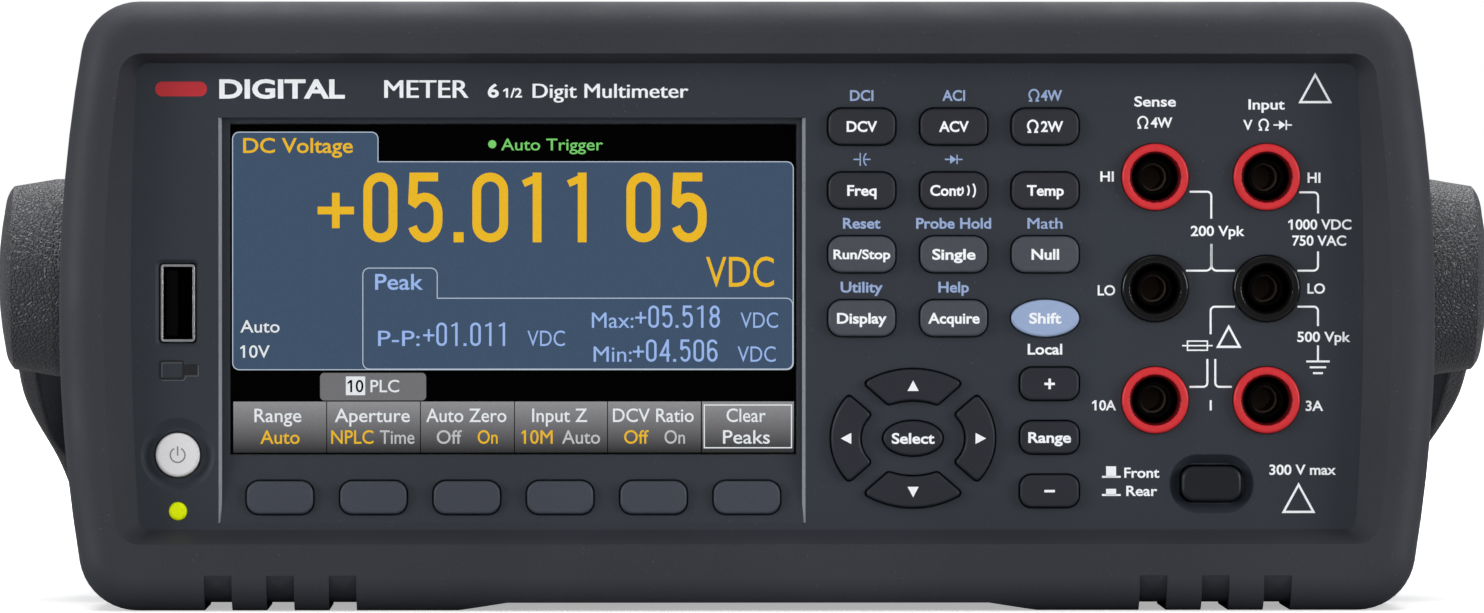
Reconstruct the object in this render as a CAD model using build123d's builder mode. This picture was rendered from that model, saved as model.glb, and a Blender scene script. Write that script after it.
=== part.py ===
from build123d import *
from math import asin, cos, pi, radians, sin, sqrt
import os

# A half-rack bench multimeter. Millimetres; +X is the user's right, +Y points away from the user, +Z up.
# The origin is on the bench, midway across the width and the depth.

# ---------------------------------------------------------------- overall size
WIDTH = 261.1  # over the crowned ends of the handle
DEPTH = 303.2  # bumper to bumper
HEIGHT = 103.8
FRONT_Y = -DEPTH / 2
BACK_Y = DEPTH / 2
FIT = 0.1  # assembly gap between neighbouring pieces

# ---------------------------------------------------------------- metal case
CASE_W, CASE_H = 212.8, 88.3
CASE_CORNER = 2.5
CASE_MID_Z = 53.5
CASE_LOW_Z = CASE_MID_Z - CASE_H / 2
SHEET = 1.2
TRAY_T = 1.5
TRAY_TOP_Z = CASE_LOW_Z + SHEET + FIT + TRAY_T
TRAY_W = CASE_W - 2 * SHEET - 0.8
TRAY_FLANGE = 9.0
REAR_Y = 133.0  # outer face of the rear panel
REAR_T = 1.5
REAR_INNER_Y = REAR_Y - REAR_T

# ---------------------------------------------------------------- front panel moulding
PANEL_Y = FRONT_Y + 6.0
PANEL_T = 3.0
PANEL_BACK_Y = PANEL_Y + PANEL_T
SKIRT_T, SKIRT_DEPTH = 2.5, 6.0
COVER_FRONT_Y = PANEL_BACK_Y + SKIRT_DEPTH + FIT
COVER_BACK_Y = REAR_INNER_Y - FIT

# ---------------------------------------------------------------- rubber bumpers
BUMPER_DEPTH = 33.6
REAR_BUMPER_DEPTH = 33.6
BUMPER_EDGE, BUMPER_BACK_EDGE = 5.5, 2.0  # radii of the outer edge and of the edge against the case
# Half widths at the top, at mid height and at the bottom, then the lowest and highest z, then the corner.
BUMPER_SHAPE = ((111.9, 117.4, 112.4), (0, HEIGHT), 10.0)
RIDGE_SHAPE = ((106.4, 109.6, 107.2), (11.4, 94.9), 4.0)  # outer end of the slope down to the panel
MOUTH_SHAPE = ((104.0, 105.2, 103.8), (13.7, 93.3), 2.2)  # where the slope meets the panel
TREAD = 1.4  # depth of the grooves between the feet
TREAD_X = (69.0, 79.6, 90.2)
TREAD_W = 4.7
TREAD_FLAT, TREAD_TOP_Z = 8.0, 9.5  # where a groove levels out, and where it runs out on the outer face
TREAD_SCOOP = (2.3, 3.0)  # a point on the curve between the two, from the outer face and from the bench
FOOT_INNER_X, FOOT_RAMP = 49.5, 8.5
LIP = 3.5  # how far the rear bumper laps over the rear panel

# ---------------------------------------------------------------- display
TRAY_X = (-89.7, 9.3)
TRAY_Z = (14.9, 84.0)
TRAY_DEPTH = 1.8
TRAY_EDGE = 0.55  # bevel along the two upright edges of the recess
WINDOW_X, WINDOW_Z = -40.0, 54.75
WINDOW_W, WINDOW_H = 96.8, 56.6
LCD_W, LCD_H, LCD_T = 102.8, 60.0, 3.0

# ---------------------------------------------------------------- keypad
KEY_GAP = 0.25  # between a key and its hole
KEY_PROUD = 1.2
SOFT_PROUD = 0.4
KEY_EDGE = 0.45
KEY_STEM = 2.6  # how far a key reaches behind the panel
KEY_FLANGE, KEY_FLANGE_T = 0.6, 1.0
DOME_SHEET_Y, DOME_SHEET_T, DOME_R, DOME_H = 3.75, 0.4, 2.4, 0.25
BOARD_GAP, BOARD_T = 4.3, 1.6
FUNCTION_X = (19.45, 35.15, 50.75)
FUNCTION_Z = (82.5, 71.6, 60.7, 49.8)
SOFT_X = tuple(-79.8 + 15.93 * i for i in range(6))
SOFT_Z = 19.2
RANGE_X, RANGE_Z = 51.5, (38.6, 29.45, 20.3)
NAV_X, NAV_Z = 28.2, 29.3
NAV_OUTER, NAV_INNER = (14.0, 11.8), (9.0, 6.5)
NAV_BAR, NAV_ANGLE = 3.2, 41.0

# ---------------------------------------------------------------- controls left and right of the display
LEFT_X = -97.2
USB_Z, POWER_Z, LED_Z = 52.4, 26.5, 16.9
POWER_R, POWER_DISH_R, POWER_DISH = 3.75, 6.3, 0.9
LED_R = 1.55
SWITCH_X, SWITCH_Z = 79.2, 21.5
SWITCH_W, SWITCH_H = 10.3, 6.0
SWITCH_DISH_W, SWITCH_DISH_H, SWITCH_DISH = 14.5, 10.1, 1.8

# ---------------------------------------------------------------- 4 mm safety terminals, 19.05 mm apart
PITCH = 19.05
TERMINAL_X = (69.55, 69.55 + PITCH)
TERMINAL_Z = (73.9, 73.9 - PITCH, 73.9 - 2 * PITCH)
FRONT_TERMINALS = [(x, z) for z in TERMINAL_Z for x in TERMINAL_X]
REAR_TERMINALS = FRONT_TERMINALS[:5]
RING_R, RING_BORE = 5.7, 4.0
RING_OUTER_EDGE, RING_INNER_EDGE = 0.5, 0.8
RING_PROUD, RING_LENGTH = 1.2, 6.0
BLOCK_START, BLOCK_END = 5.1, 30.0  # behind the panel's outer face
TUBE_START, TUBE_R, TUBE_BORE = 2.2, 3.0, 2.45
GROOVE_R, GROOVE_END = 4.4, 20.0
CONTACT_START, CONTACT_END = 9.2, 27.0
CONTACT_R, CONTACT_BORE, CONTACT_BORE_DEPTH = 2.4, 2.05, 14.0
TAIL_R, TAIL_LENGTH = 1.2, 6.0

# ---------------------------------------------------------------- handle
PIVOT_Y, PIVOT_Z = FRONT_Y + 56.0, 56.3
DRUM_R_IN, DRUM_R_OUT = 17.3, 16.1
DRUM_X_IN, DRUM_TAPER_X, DRUM_X_OUT = 108.6, 120.5, 127.8
ARM_X, ARM_T = 127.8, 3.4
BOSS_R, BOSS_END = 9.0, 118.0
BAR_FRONT, BAR_BACK = 124.0, 152.0  # crossbar edges behind the pivot
BAR_LOW_Z, BAR_HIGH_Z = 1.2, 7.9
BAR_BEND_X, BAR_INNER_X = 82.0, 96.0  # where the crossbar's outer and inner edges start to turn
ARM_BEND, ARM_DRAW, ARM_DRAW_AT = 8.0, 4.0, 50.0  # behind the pivot the arms draw in towards the case
ARM_EDGE = 0.8

# ---------------------------------------------------------------- rear panel layout
FAN_X, FAN_Z, FAN_SIZE, FAN_T = -38.0, 55.0, 40.0, 10.0
INLET_X, INLET_Z, INLET_W, INLET_H = -84.0, 50.0, 27.4, 47.4
BNC_Z, BNC_X = 38.0, (50.0, 32.0)
BNC_R = 4.83
FUSE_CAP = (TERMINAL_X[1], TERMINAL_Z[2])
GROUND_X, GROUND_Z = -60.0, 24.0

# ---------------------------------------------------------------- boards
MAIN_BOARD_Z = TRAY_TOP_Z + 3.0
MAIN_BOARD = (166.0, 196.0)  # width, depth
MAIN_BOARD_AT = (18.0, -9.0)
SWITCH_BODY_Y = (-104.0, -76.0)
ROD = 4.0

os.makedirs("parts", exist_ok=True)


def facing_front(y):
    """A plane that faces the user at depth y: local x is +X and local y is +Z."""
    return Plane(origin=(0, y, 0), x_dir=(1, 0, 0), z_dir=(0, -1, 0))


def facing_side(x):
    """A plane that faces +X: local x is +Y and local y is +Z."""
    return Plane(origin=(x, 0, 0), x_dir=(0, 1, 0), z_dir=(1, 0, 0))


def bowed_outline(halves, heights, corner):
    """A sketch with a flat top and bottom, and sides that bow outwards."""
    half_high, half_mid, half_low = halves
    low, high = heights
    middle = (low + high) / 2
    with BuildSketch() as outline:
        with BuildLine():
            Line((-half_high, high), (half_high, high))
            ThreePointArc((half_high, high), (half_mid, middle), (half_low, low))
            Line((half_low, low), (-half_low, low))
            ThreePointArc((-half_low, low), (-half_mid, middle), (-half_high, high))
        make_face()
        fillet(outline.vertices(), corner)
    return outline.sketch


def pad(grow, width=11.4, height=6.1, corner=2.3):
    """A rounded rectangular key, grown by a margin."""
    with BuildSketch() as outline:
        RectangleRounded(width + 2 * grow, height + 2 * grow, corner + grow)
    return outline.sketch


def soft_pad(grow):
    return pad(grow, 11.3, 5.6, 2.1)


def range_pad(grow):
    return pad(grow, 10.0, 5.5, 2.0)


def oval(grow, half_width=5.8, half_height=3.15):
    """An elliptical key, grown by a margin."""
    with BuildSketch() as outline:
        Ellipse(half_width + grow, half_height + grow)
    return outline.sketch


def select_oval(grow):
    return oval(grow, 5.05, 2.95)


def crossing(oval_radii, slant, clear):
    """Where a line at a slant, held clear of the centre, leaves an ellipse in the first quadrant."""
    along = Vector(cos(slant), sin(slant))
    start = Vector(sin(slant), -cos(slant)) * clear
    wide, high = oval_radii
    a = (along.X / wide) ** 2 + (along.Y / high) ** 2
    b = 2 * (start.X * along.X / wide**2 + start.Y * along.Y / high**2)
    c = (start.X / wide) ** 2 + (start.Y / high) ** 2 - 1
    return start + along * ((sqrt(b * b - 4 * a * c) - b) / (2 * a))


def nav_sector(grow, quarter):
    """One arrow key: a quarter of an elliptical ring. Quarter 0 is right, 1 up, 2 left, 3 down."""
    outer = [r + grow for r in NAV_OUTER]
    inner = [r - grow for r in NAV_INNER]
    slant = radians(NAV_ANGLE)
    if quarter % 2:
        outer, inner, slant = outer[::-1], inner[::-1], pi / 2 - slant
    far, near = [crossing(radii, slant, NAV_BAR / 2 - grow) for radii in (outer, inner)]
    with BuildSketch() as sector:
        with BuildLine():
            ThreePointArc((far.X, -far.Y), (outer[0], 0), (far.X, far.Y))
            Line((far.X, far.Y), (near.X, near.Y))
            ThreePointArc((near.X, near.Y), (inner[0], 0), (near.X, -near.Y))
            Line((near.X, -near.Y), (far.X, -far.Y))
        make_face()
        fillet(sector.vertices(), 0.7 + grow / 3)
    return sector.sketch.rotate(Axis.Z, 90 * quarter)


def nav_key(quarter):
    return lambda grow: nav_sector(grow, quarter)


# name: (outline, x, z, how far it stands proud of the panel)
KEYS = {f"soft_key_{i + 1}": (soft_pad, x, SOFT_Z, SOFT_PROUD) for i, x in enumerate(SOFT_X)}
FUNCTION_NAMES = (
    ("dc_volts_key", "ac_volts_key", "ohms_key"),
    ("frequency_key", "continuity_key", "temperature_key"),
    ("run_stop_key", "single_key", "null_key"),
    ("display_key", "acquire_key", "shift_key"),
)
for row_z, row in zip(FUNCTION_Z, FUNCTION_NAMES):
    for column_x, key_name in zip(FUNCTION_X, row):
        outline_of = oval if key_name == "shift_key" else pad
        KEYS[key_name] = (outline_of, column_x, row_z, KEY_PROUD)
for key_name, row_z in zip(("plus_key", "range_key", "minus_key"), RANGE_Z):
    KEYS[key_name] = (range_pad, RANGE_X, row_z, KEY_PROUD)
for quarter, key_name in enumerate(("right_key", "up_key", "left_key", "down_key")):
    KEYS[key_name] = (nav_key(quarter), NAV_X, NAV_Z, KEY_PROUD)
KEYS["select_key"] = (select_oval, NAV_X, NAV_Z, KEY_PROUD)


def cut_feet(edge_y, into):
    """Cuts the grooves and the raised middle that leave the feet, in the part being built.

    edge_y is the bumper's outer edge, and into is +1 or -1, the way the bumper runs from it.
    """
    reach, clear = 60.0, 5.0
    outside = edge_y - into * clear
    far_side = edge_y + into * reach
    ramp_x = FOOT_INNER_X - FOOT_RAMP
    with BuildSketch(facing_front(outside)) as raised_middle:
        Polygon(
            (-FOOT_INNER_X, 0),
            (-ramp_x, TREAD),
            (ramp_x, TREAD),
            (FOOT_INNER_X, 0),
            (FOOT_INNER_X, -clear),
            (-FOOT_INNER_X, -clear),
            align=None,
        )
    extrude(raised_middle.sketch, amount=-into * reach, mode=Mode.SUBTRACT)
    for x in TREAD_X:
        for side in (-x, x):
            with BuildSketch(facing_side(side)) as groove:
                with BuildLine():
                    flat = (edge_y + into * TREAD_FLAT, TREAD)
                    scoop = (edge_y + into * TREAD_SCOOP[0], TREAD_SCOOP[1])
                    top = (edge_y - into * 0.5, TREAD_TOP_Z)
                    ThreePointArc(flat, scoop, top)
                    Polyline(top, (outside, TREAD_TOP_Z), (outside, -clear), (far_side, -clear))
                    Polyline((far_side, -clear), (far_side, TREAD), flat)
                make_face()
            extrude(groove.sketch, amount=TREAD_W / 2, both=True, mode=Mode.SUBTRACT)


def machine_screw(seat, head_r, head_t, length):
    """A cross-recess screw whose head sits on a plane and whose shank runs back from it."""
    recess, recess_w, recess_depth = 1.2 * head_r, 0.7, 1.1
    with BuildPart(mode=Mode.PRIVATE) as screw:
        with BuildSketch(seat):
            Circle(head_r)
        extrude(amount=head_t)
        head_top = screw.faces().filter_by(GeomType.PLANE).sort_by(Axis(seat.origin, seat.z_dir))[-1]
        fillet(head_top.edges(), 0.6)
        with BuildSketch(seat):
            Circle(SCREW_R)
        extrude(amount=-length)
        with BuildSketch(seat.offset(head_t)):
            Rectangle(recess, recess_w)
            Rectangle(recess_w, recess)
        extrude(amount=-recess_depth, mode=Mode.SUBTRACT)
    return screw.part


bumper_outline = bowed_outline(*BUMPER_SHAPE)
ridge_outline = bowed_outline(*RIDGE_SHAPE)
mouth_outline = bowed_outline(*MOUTH_SHAPE)

# ================================================================ rubber bumpers
with BuildPart() as front_bumper:
    with BuildSketch(facing_front(FRONT_Y)):
        add(bumper_outline)
    extrude(amount=-BUMPER_DEPTH)
    fillet(front_bumper.faces().sort_by(Axis.Y)[0].edges(), BUMPER_EDGE)
    fillet(front_bumper.faces().sort_by(Axis.Y)[-1].edges(), BUMPER_BACK_EDGE)
    cut_feet(FRONT_Y, 1)
    with BuildSketch(facing_front(FRONT_Y)):
        add(ridge_outline)
    with BuildSketch(facing_front(PANEL_Y - FIT)):
        add(mouth_outline)
    loft(mode=Mode.SUBTRACT)
    with BuildSketch(facing_front(PANEL_Y - FIT)):
        with Locations((0, CASE_MID_Z)):
            RectangleRounded(CASE_W + 2 * FIT, CASE_H + 2 * FIT, CASE_CORNER)
    extrude(amount=-BUMPER_DEPTH, mode=Mode.SUBTRACT)
front_bumper.part.label = "front_bumper"
export_step(front_bumper.part, "parts/front_bumper.step")

with BuildPart() as rear_bumper:
    with BuildSketch(facing_front(BACK_Y)):
        add(bumper_outline)
    extrude(amount=REAR_BUMPER_DEPTH)
    fillet(rear_bumper.faces().sort_by(Axis.Y)[-1].edges(), BUMPER_EDGE)
    fillet(rear_bumper.faces().sort_by(Axis.Y)[0].edges(), BUMPER_BACK_EDGE)
    cut_feet(BACK_Y, -1)
    with BuildSketch(facing_front(BACK_Y)):
        with Locations((0, CASE_MID_Z)):
            RectangleRounded(CASE_W - LIP, CASE_H - LIP, 5.0)
    with BuildSketch(facing_front(REAR_Y + FIT)):
        with Locations((0, CASE_MID_Z)):
            RectangleRounded(CASE_W - 2 * LIP, CASE_H - 2 * LIP, 3.0)
    loft(mode=Mode.SUBTRACT)
    with BuildSketch(facing_front(REAR_Y + FIT)):
        with Locations((0, CASE_MID_Z)):
            RectangleRounded(CASE_W + 2 * FIT, CASE_H + 2 * FIT, CASE_CORNER)
    extrude(amount=REAR_BUMPER_DEPTH, mode=Mode.SUBTRACT)
rear_bumper.part.label = "rear_bumper"
export_step(rear_bumper.part, "parts/rear_bumper.step")

# ================================================================ case
COVER_LIP = 6.0  # how far the cover folds under the case on each side
BOSS_SQUARE = 6.8
SIDE_VENTS, VENT_W, VENT_H, VENT_PITCH, VENT_Y = 12, 3.0, 26.0, 6.5, 10.0

with BuildPart() as top_cover:
    with BuildSketch(facing_front(COVER_FRONT_Y)):
        with Locations((0, CASE_MID_Z)):
            RectangleRounded(CASE_W, CASE_H, CASE_CORNER)
            RectangleRounded(
                CASE_W - 2 * SHEET, CASE_H - 2 * SHEET, CASE_CORNER - SHEET, mode=Mode.SUBTRACT
            )
        with Locations((0, CASE_LOW_Z)):
            Rectangle(CASE_W - 2 * COVER_LIP, 6.0, mode=Mode.SUBTRACT)
    extrude(amount=-(COVER_BACK_Y - COVER_FRONT_Y))
    with BuildSketch(facing_side(0)):
        with Locations((PIVOT_Y, PIVOT_Z)):
            Rectangle(BOSS_SQUARE + 0.2, BOSS_SQUARE + 0.2)
        with Locations((VENT_Y + VENT_PITCH * SIDE_VENTS / 2, CASE_MID_Z)):
            with GridLocations(VENT_PITCH, 1, SIDE_VENTS, 1):
                SlotOverall(VENT_H, VENT_W, rotation=90)
    extrude(amount=CASE_W, both=True, mode=Mode.SUBTRACT)
top_cover.part.label = "top_cover"
export_step(top_cover.part, "parts/top_cover.step")

STANDOFFS = [(x, y) for x in (-55.0, 20.0, 95.0) for y in (-98.0, 80.0)]
REAR_POST_X, REAR_POST_Z, REAR_POST_R = 98.0, 19.0, 4.0
SCREW_R, SCREW_HEAD_R, SCREW_HEAD_T = 1.5, 2.9, 2.0

with BuildPart() as chassis_tray:
    tray_front_y = COVER_FRONT_Y + 2
    tray_depth = REAR_INNER_Y - FIT - tray_front_y
    with BuildSketch(Plane.XY.offset(TRAY_TOP_Z - TRAY_T)):
        with Locations((0, tray_front_y + tray_depth / 2)):
            Rectangle(TRAY_W, tray_depth)
    extrude(amount=TRAY_T + TRAY_FLANGE)
    folds = chassis_tray.edges().filter_by(Axis.Y).sort_by(Axis.Z)[:2]
    fillet(folds, TRAY_T)
    with BuildSketch(Plane.XY.offset(TRAY_TOP_Z)):
        with Locations((0, tray_front_y + tray_depth / 2)):
            Rectangle(TRAY_W - 2 * TRAY_T, tray_depth + 2)
    extrude(amount=TRAY_FLANGE + 1, mode=Mode.SUBTRACT)
    with BuildSketch(Plane.XY.offset(TRAY_TOP_Z)):
        with Locations(*STANDOFFS):
            RegularPolygon(3.2, 6)
            Circle(SCREW_R + 0.05, mode=Mode.SUBTRACT)
    extrude(amount=MAIN_BOARD_Z - TRAY_TOP_Z)
    with BuildSketch(facing_front(REAR_INNER_Y - FIT - 14)):
        with Locations((-REAR_POST_X, REAR_POST_Z), (REAR_POST_X, REAR_POST_Z)):
            Rectangle(2 * REAR_POST_R, 2 * REAR_POST_R + 5)
            Rectangle(2 * SCREW_R + 0.1, 2 * SCREW_R + 0.1, mode=Mode.SUBTRACT)
    extrude(amount=-14)
chassis_tray.part.label = "chassis_tray"
export_step(chassis_tray.part, "parts/chassis_tray.step")

with BuildPart() as screws:
    for x in (-REAR_POST_X, REAR_POST_X):
        case_screw_at = Plane(origin=(x, REAR_Y + FIT, REAR_POST_Z), x_dir=(-1, 0, 0), z_dir=(0, 1, 0))
        add(machine_screw(case_screw_at, SCREW_HEAD_R, SCREW_HEAD_T, 12.0))
    for x, y in STANDOFFS:
        board_screw_at = Plane.XY.offset(MAIN_BOARD_Z + BOARD_T + 0.05).move(Location((x, y, 0)))
        add(machine_screw(board_screw_at, SCREW_HEAD_R, SCREW_HEAD_T, BOARD_T + 2.5))
    ground_at = Plane(origin=(GROUND_X, REAR_Y + FIT, GROUND_Z), x_dir=(-1, 0, 0), z_dir=(0, 1, 0))
    add(machine_screw(ground_at, SCREW_HEAD_R + 1, SCREW_HEAD_T + 1, 8.0))
screws.part.label = "screws"
export_step(screws.part, "parts/screws.step")

# ================================================================ front panel and its controls
USB_HOLE, USB_RIM = (6.3, 13.7), 0.6
BAR_STUDS = [(x, z) for x in (-101.5, 12.5, 60.5, 101.5) for z in (89.0, 16.0)]

with BuildPart() as front_panel:
    with BuildSketch(facing_front(PANEL_Y)):
        with Locations((0, CASE_MID_Z)):
            RectangleRounded(CASE_W, CASE_H, CASE_CORNER)
    extrude(amount=-PANEL_T)
    with BuildSketch(facing_front(PANEL_BACK_Y)):
        with Locations((0, CASE_MID_Z)):
            RectangleRounded(CASE_W, CASE_H, CASE_CORNER)
            Rectangle(CASE_W - 2 * SKIRT_T, CASE_H - 2 * SKIRT_T, mode=Mode.SUBTRACT)
    extrude(amount=-SKIRT_DEPTH)
    with BuildSketch(facing_side(TRAY_X[0])):
        slope_z = WINDOW_Z - WINDOW_H / 2 - 0.6
        Polygon(
            (PANEL_Y - 1, TRAY_Z[1]),
            (PANEL_Y + TRAY_DEPTH, TRAY_Z[1]),
            (PANEL_Y + TRAY_DEPTH, slope_z),
            (PANEL_Y, TRAY_Z[0]),
            (PANEL_Y - 1, TRAY_Z[0]),
            align=None,
        )
    extrude(amount=TRAY_X[1] - TRAY_X[0], mode=Mode.SUBTRACT)
    with BuildSketch(Plane.XY.offset(TRAY_Z[0])):
        for x, outwards in zip(TRAY_X, (-1, 1)):
            Polygon(
                (x, PANEL_Y + TRAY_EDGE),
                (x, PANEL_Y - TRAY_EDGE),
                (x + outwards * 2 * TRAY_EDGE, PANEL_Y - TRAY_EDGE),
                align=None,
            )
    extrude(amount=TRAY_Z[1] - TRAY_Z[0], mode=Mode.SUBTRACT)
    with BuildSketch(facing_front(PANEL_Y)):
        with Locations((WINDOW_X, WINDOW_Z)):
            Rectangle(WINDOW_W, WINDOW_H)
        for outline_of, x, z, proud in KEYS.values():
            with Locations((x, z)):
                add(outline_of(KEY_GAP))
        with Locations(*FRONT_TERMINALS):
            Circle(RING_R + FIT)
        with Locations((LEFT_X, USB_Z)):
            RectangleRounded(*USB_HOLE, USB_RIM)
        with Locations((LEFT_X, LED_Z)):
            Circle(LED_R + 0.05)
        with Locations((LEFT_X, POWER_Z)):
            Circle(POWER_R + KEY_GAP)
        with Locations((SWITCH_X, SWITCH_Z)):
            RectangleRounded(SWITCH_W + 2 * KEY_GAP, SWITCH_H + 2 * KEY_GAP, 2.2)
    extrude(amount=-PANEL_T, mode=Mode.SUBTRACT)
    with BuildSketch(facing_front(PANEL_Y)):
        with Locations((LEFT_X, POWER_Z)):
            Circle(POWER_DISH_R)
    with BuildSketch(facing_front(PANEL_Y + POWER_DISH)):
        with Locations((LEFT_X, POWER_Z)):
            Circle(POWER_R + 1.0)
    loft(mode=Mode.SUBTRACT)
    with BuildSketch(facing_front(PANEL_Y)):
        with Locations((LEFT_X, USB_Z)):
            RectangleRounded(USB_HOLE[0] + 2 * USB_RIM, USB_HOLE[1] + 2 * USB_RIM, 2 * USB_RIM)
    with BuildSketch(facing_front(PANEL_Y + USB_RIM)):
        with Locations((LEFT_X, USB_Z)):
            RectangleRounded(*USB_HOLE, USB_RIM)
    loft(mode=Mode.SUBTRACT)
    with BuildSketch(facing_front(PANEL_Y)):
        with Locations((SWITCH_X, SWITCH_Z)):
            RectangleRounded(SWITCH_DISH_W, SWITCH_DISH_H, 5.0)
    with BuildSketch(facing_front(PANEL_Y + SWITCH_DISH)):
        with Locations((SWITCH_X, SWITCH_Z)):
            RectangleRounded(SWITCH_W + 1.0, SWITCH_H + 1.0, 3.0)
    loft(mode=Mode.SUBTRACT)
front_panel.part.label = "front_panel"
export_step(front_panel.part, "parts/front_panel.step")

for key_name, (outline_of, x, z, proud) in KEYS.items():
    with BuildPart() as key:
        with BuildSketch(facing_front(PANEL_Y - proud)):
            with Locations((x, z)):
                add(outline_of(0))
        extrude(amount=-(proud + KEY_STEM + PANEL_T))
        fillet(key.faces().sort_by(Axis.Y)[0].edges(), KEY_EDGE)
        with BuildSketch(facing_front(PANEL_BACK_Y + 0.9)):
            with Locations((x, z)):
                add(outline_of(KEY_FLANGE))
        extrude(amount=-KEY_FLANGE_T)
    key.part.label = key_name
    export_step(key.part, f"parts/{key_name}.step")

BOARD_Y = PANEL_BACK_Y + BOARD_GAP
BOARD_X, BOARD_Z = (-92.4, 61.4), (13.0, 92.5)

with BuildPart() as key_dome_sheet:
    with BuildSketch(facing_front(PANEL_BACK_Y + DOME_SHEET_Y)):
        with Locations(((12.0 + BOARD_X[1]) / 2, (BOARD_Z[0] + BOARD_Z[1]) / 2)):
            Rectangle(BOARD_X[1] - 12.0, BOARD_Z[1] - BOARD_Z[0])
        with Locations(((BOARD_X[0] + 12.0) / 2, SOFT_Z)):
            Rectangle(12.5 - BOARD_X[0], 9.0)
    extrude(amount=-DOME_SHEET_T)
    with BuildSketch(facing_front(PANEL_BACK_Y + DOME_SHEET_Y)):
        with Locations(*[(x, z) for _, x, z, _ in KEYS.values() if (x, z) != (NAV_X, NAV_Z)]):
            Circle(DOME_R)
        with Locations((NAV_X, NAV_Z)):
            with PolarLocations(NAV_INNER[1] + 2.9, 4):
                Circle(DOME_R - 0.4)
            Circle(DOME_R)
    extrude(amount=DOME_H)
key_dome_sheet.part.label = "key_dome_sheet"
export_step(key_dome_sheet.part, "parts/key_dome_sheet.step")

with BuildPart() as display_window:
    with BuildSketch(facing_front(PANEL_Y + TRAY_DEPTH)):
        with Locations((WINDOW_X, WINDOW_Z)):
            Rectangle(WINDOW_W - 2 * FIT, WINDOW_H - 2 * FIT)
    extrude(amount=-(PANEL_T - TRAY_DEPTH))
display_window.part.label = "display_window"
export_step(display_window.part, "parts/display_window.step")

with BuildPart() as display_module:
    with BuildSketch(facing_front(PANEL_BACK_Y + FIT)):
        with Locations((WINDOW_X, WINDOW_Z)):
            RectangleRounded(LCD_W, LCD_H, 1.0)
    extrude(amount=-LCD_T)
    with BuildSketch(facing_front(PANEL_BACK_Y + FIT)):
        with Locations((WINDOW_X, WINDOW_Z)):
            Rectangle(WINDOW_W + 1.0, WINDOW_H + 1.0)
    extrude(amount=-0.4, mode=Mode.SUBTRACT)
display_module.part.label = "display_module"
export_step(display_module.part, "parts/display_module.step")

with BuildPart() as front_board:
    with BuildSketch(facing_front(BOARD_Y)):
        with Locations(((BOARD_X[0] + BOARD_X[1]) / 2, (BOARD_Z[0] + BOARD_Z[1]) / 2)):
            Rectangle(BOARD_X[1] - BOARD_X[0], BOARD_Z[1] - BOARD_Z[0])
    extrude(amount=-BOARD_T)
    with BuildSketch(facing_front(BOARD_Y + BOARD_T)):
        with Locations((-40.0, 60.0), (10.0, 66.0)):
            RectangleRounded(22.0, 22.0, 0.5)
        with Locations((-75.0, 40.0), (-75.0, 62.0), (35.0, 40.0)):
            Rectangle(12.0, 8.0)
        with Locations((-10.0, 30.0)):
            Rectangle(36.0, 6.5)
    extrude(amount=-1.4)
front_board.part.label = "front_board"
export_step(front_board.part, "parts/front_board.step")

USB_SHELL, USB_WALL, USB_START, USB_LENGTH, USB_MOUTH = (5.8, 13.2), 0.4, 0.3, 16.0, 12.0
TONGUE, TONGUE_SHIFT = (1.9, 11.2), 1.0

with BuildPart() as usb_a_socket:
    with BuildSketch(facing_front(PANEL_Y + USB_START)):
        with Locations((LEFT_X, USB_Z)):
            RectangleRounded(*USB_SHELL, 0.5)
    extrude(amount=-USB_LENGTH)
    with BuildSketch(facing_front(PANEL_Y + USB_START)):
        with Locations((LEFT_X, USB_Z)):
            Rectangle(USB_SHELL[0] - 2 * USB_WALL, USB_SHELL[1] - 2 * USB_WALL)
    extrude(amount=-USB_MOUTH, mode=Mode.SUBTRACT)
    with BuildSketch(facing_front(PANEL_Y + USB_START + 1)):
        with Locations((LEFT_X - TONGUE_SHIFT, USB_Z)):
            Rectangle(*TONGUE)
    extrude(amount=-USB_MOUTH)
usb_a_socket.part.label = "usb_a_socket"
export_step(usb_a_socket.part, "parts/usb_a_socket.step")

with BuildPart() as power_light_pipe:
    with BuildSketch(facing_front(PANEL_Y - 0.3)):
        with Locations((LEFT_X, LED_Z)):
            Circle(LED_R)
    extrude(amount=-(PANEL_T + 2.3))
    fillet(power_light_pipe.faces().sort_by(Axis.Y)[0].edges(), 0.6)
    with BuildSketch(facing_front(PANEL_BACK_Y + FIT)):
        with Locations((LEFT_X, LED_Z)):
            Circle(LED_R + 0.9)
    extrude(amount=-2.0)
power_light_pipe.part.label = "power_light_pipe"
export_step(power_light_pipe.part, "parts/power_light_pipe.step")

with BuildPart() as power_button:
    with BuildSketch(facing_front(PANEL_Y - 0.9)):
        with Locations((LEFT_X, POWER_Z)):
            Circle(POWER_R)
    extrude(amount=-(0.9 + PANEL_T + 5.0))
    fillet(power_button.faces().sort_by(Axis.Y)[0].edges(), 0.6)
    with BuildSketch(facing_front(PANEL_BACK_Y + 4.9)):
        with Locations((LEFT_X, POWER_Z)):
            Circle(POWER_R + 0.9)
    extrude(amount=-1.2)
power_button.part.label = "power_button"
export_step(power_button.part, "parts/power_button.step")

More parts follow.
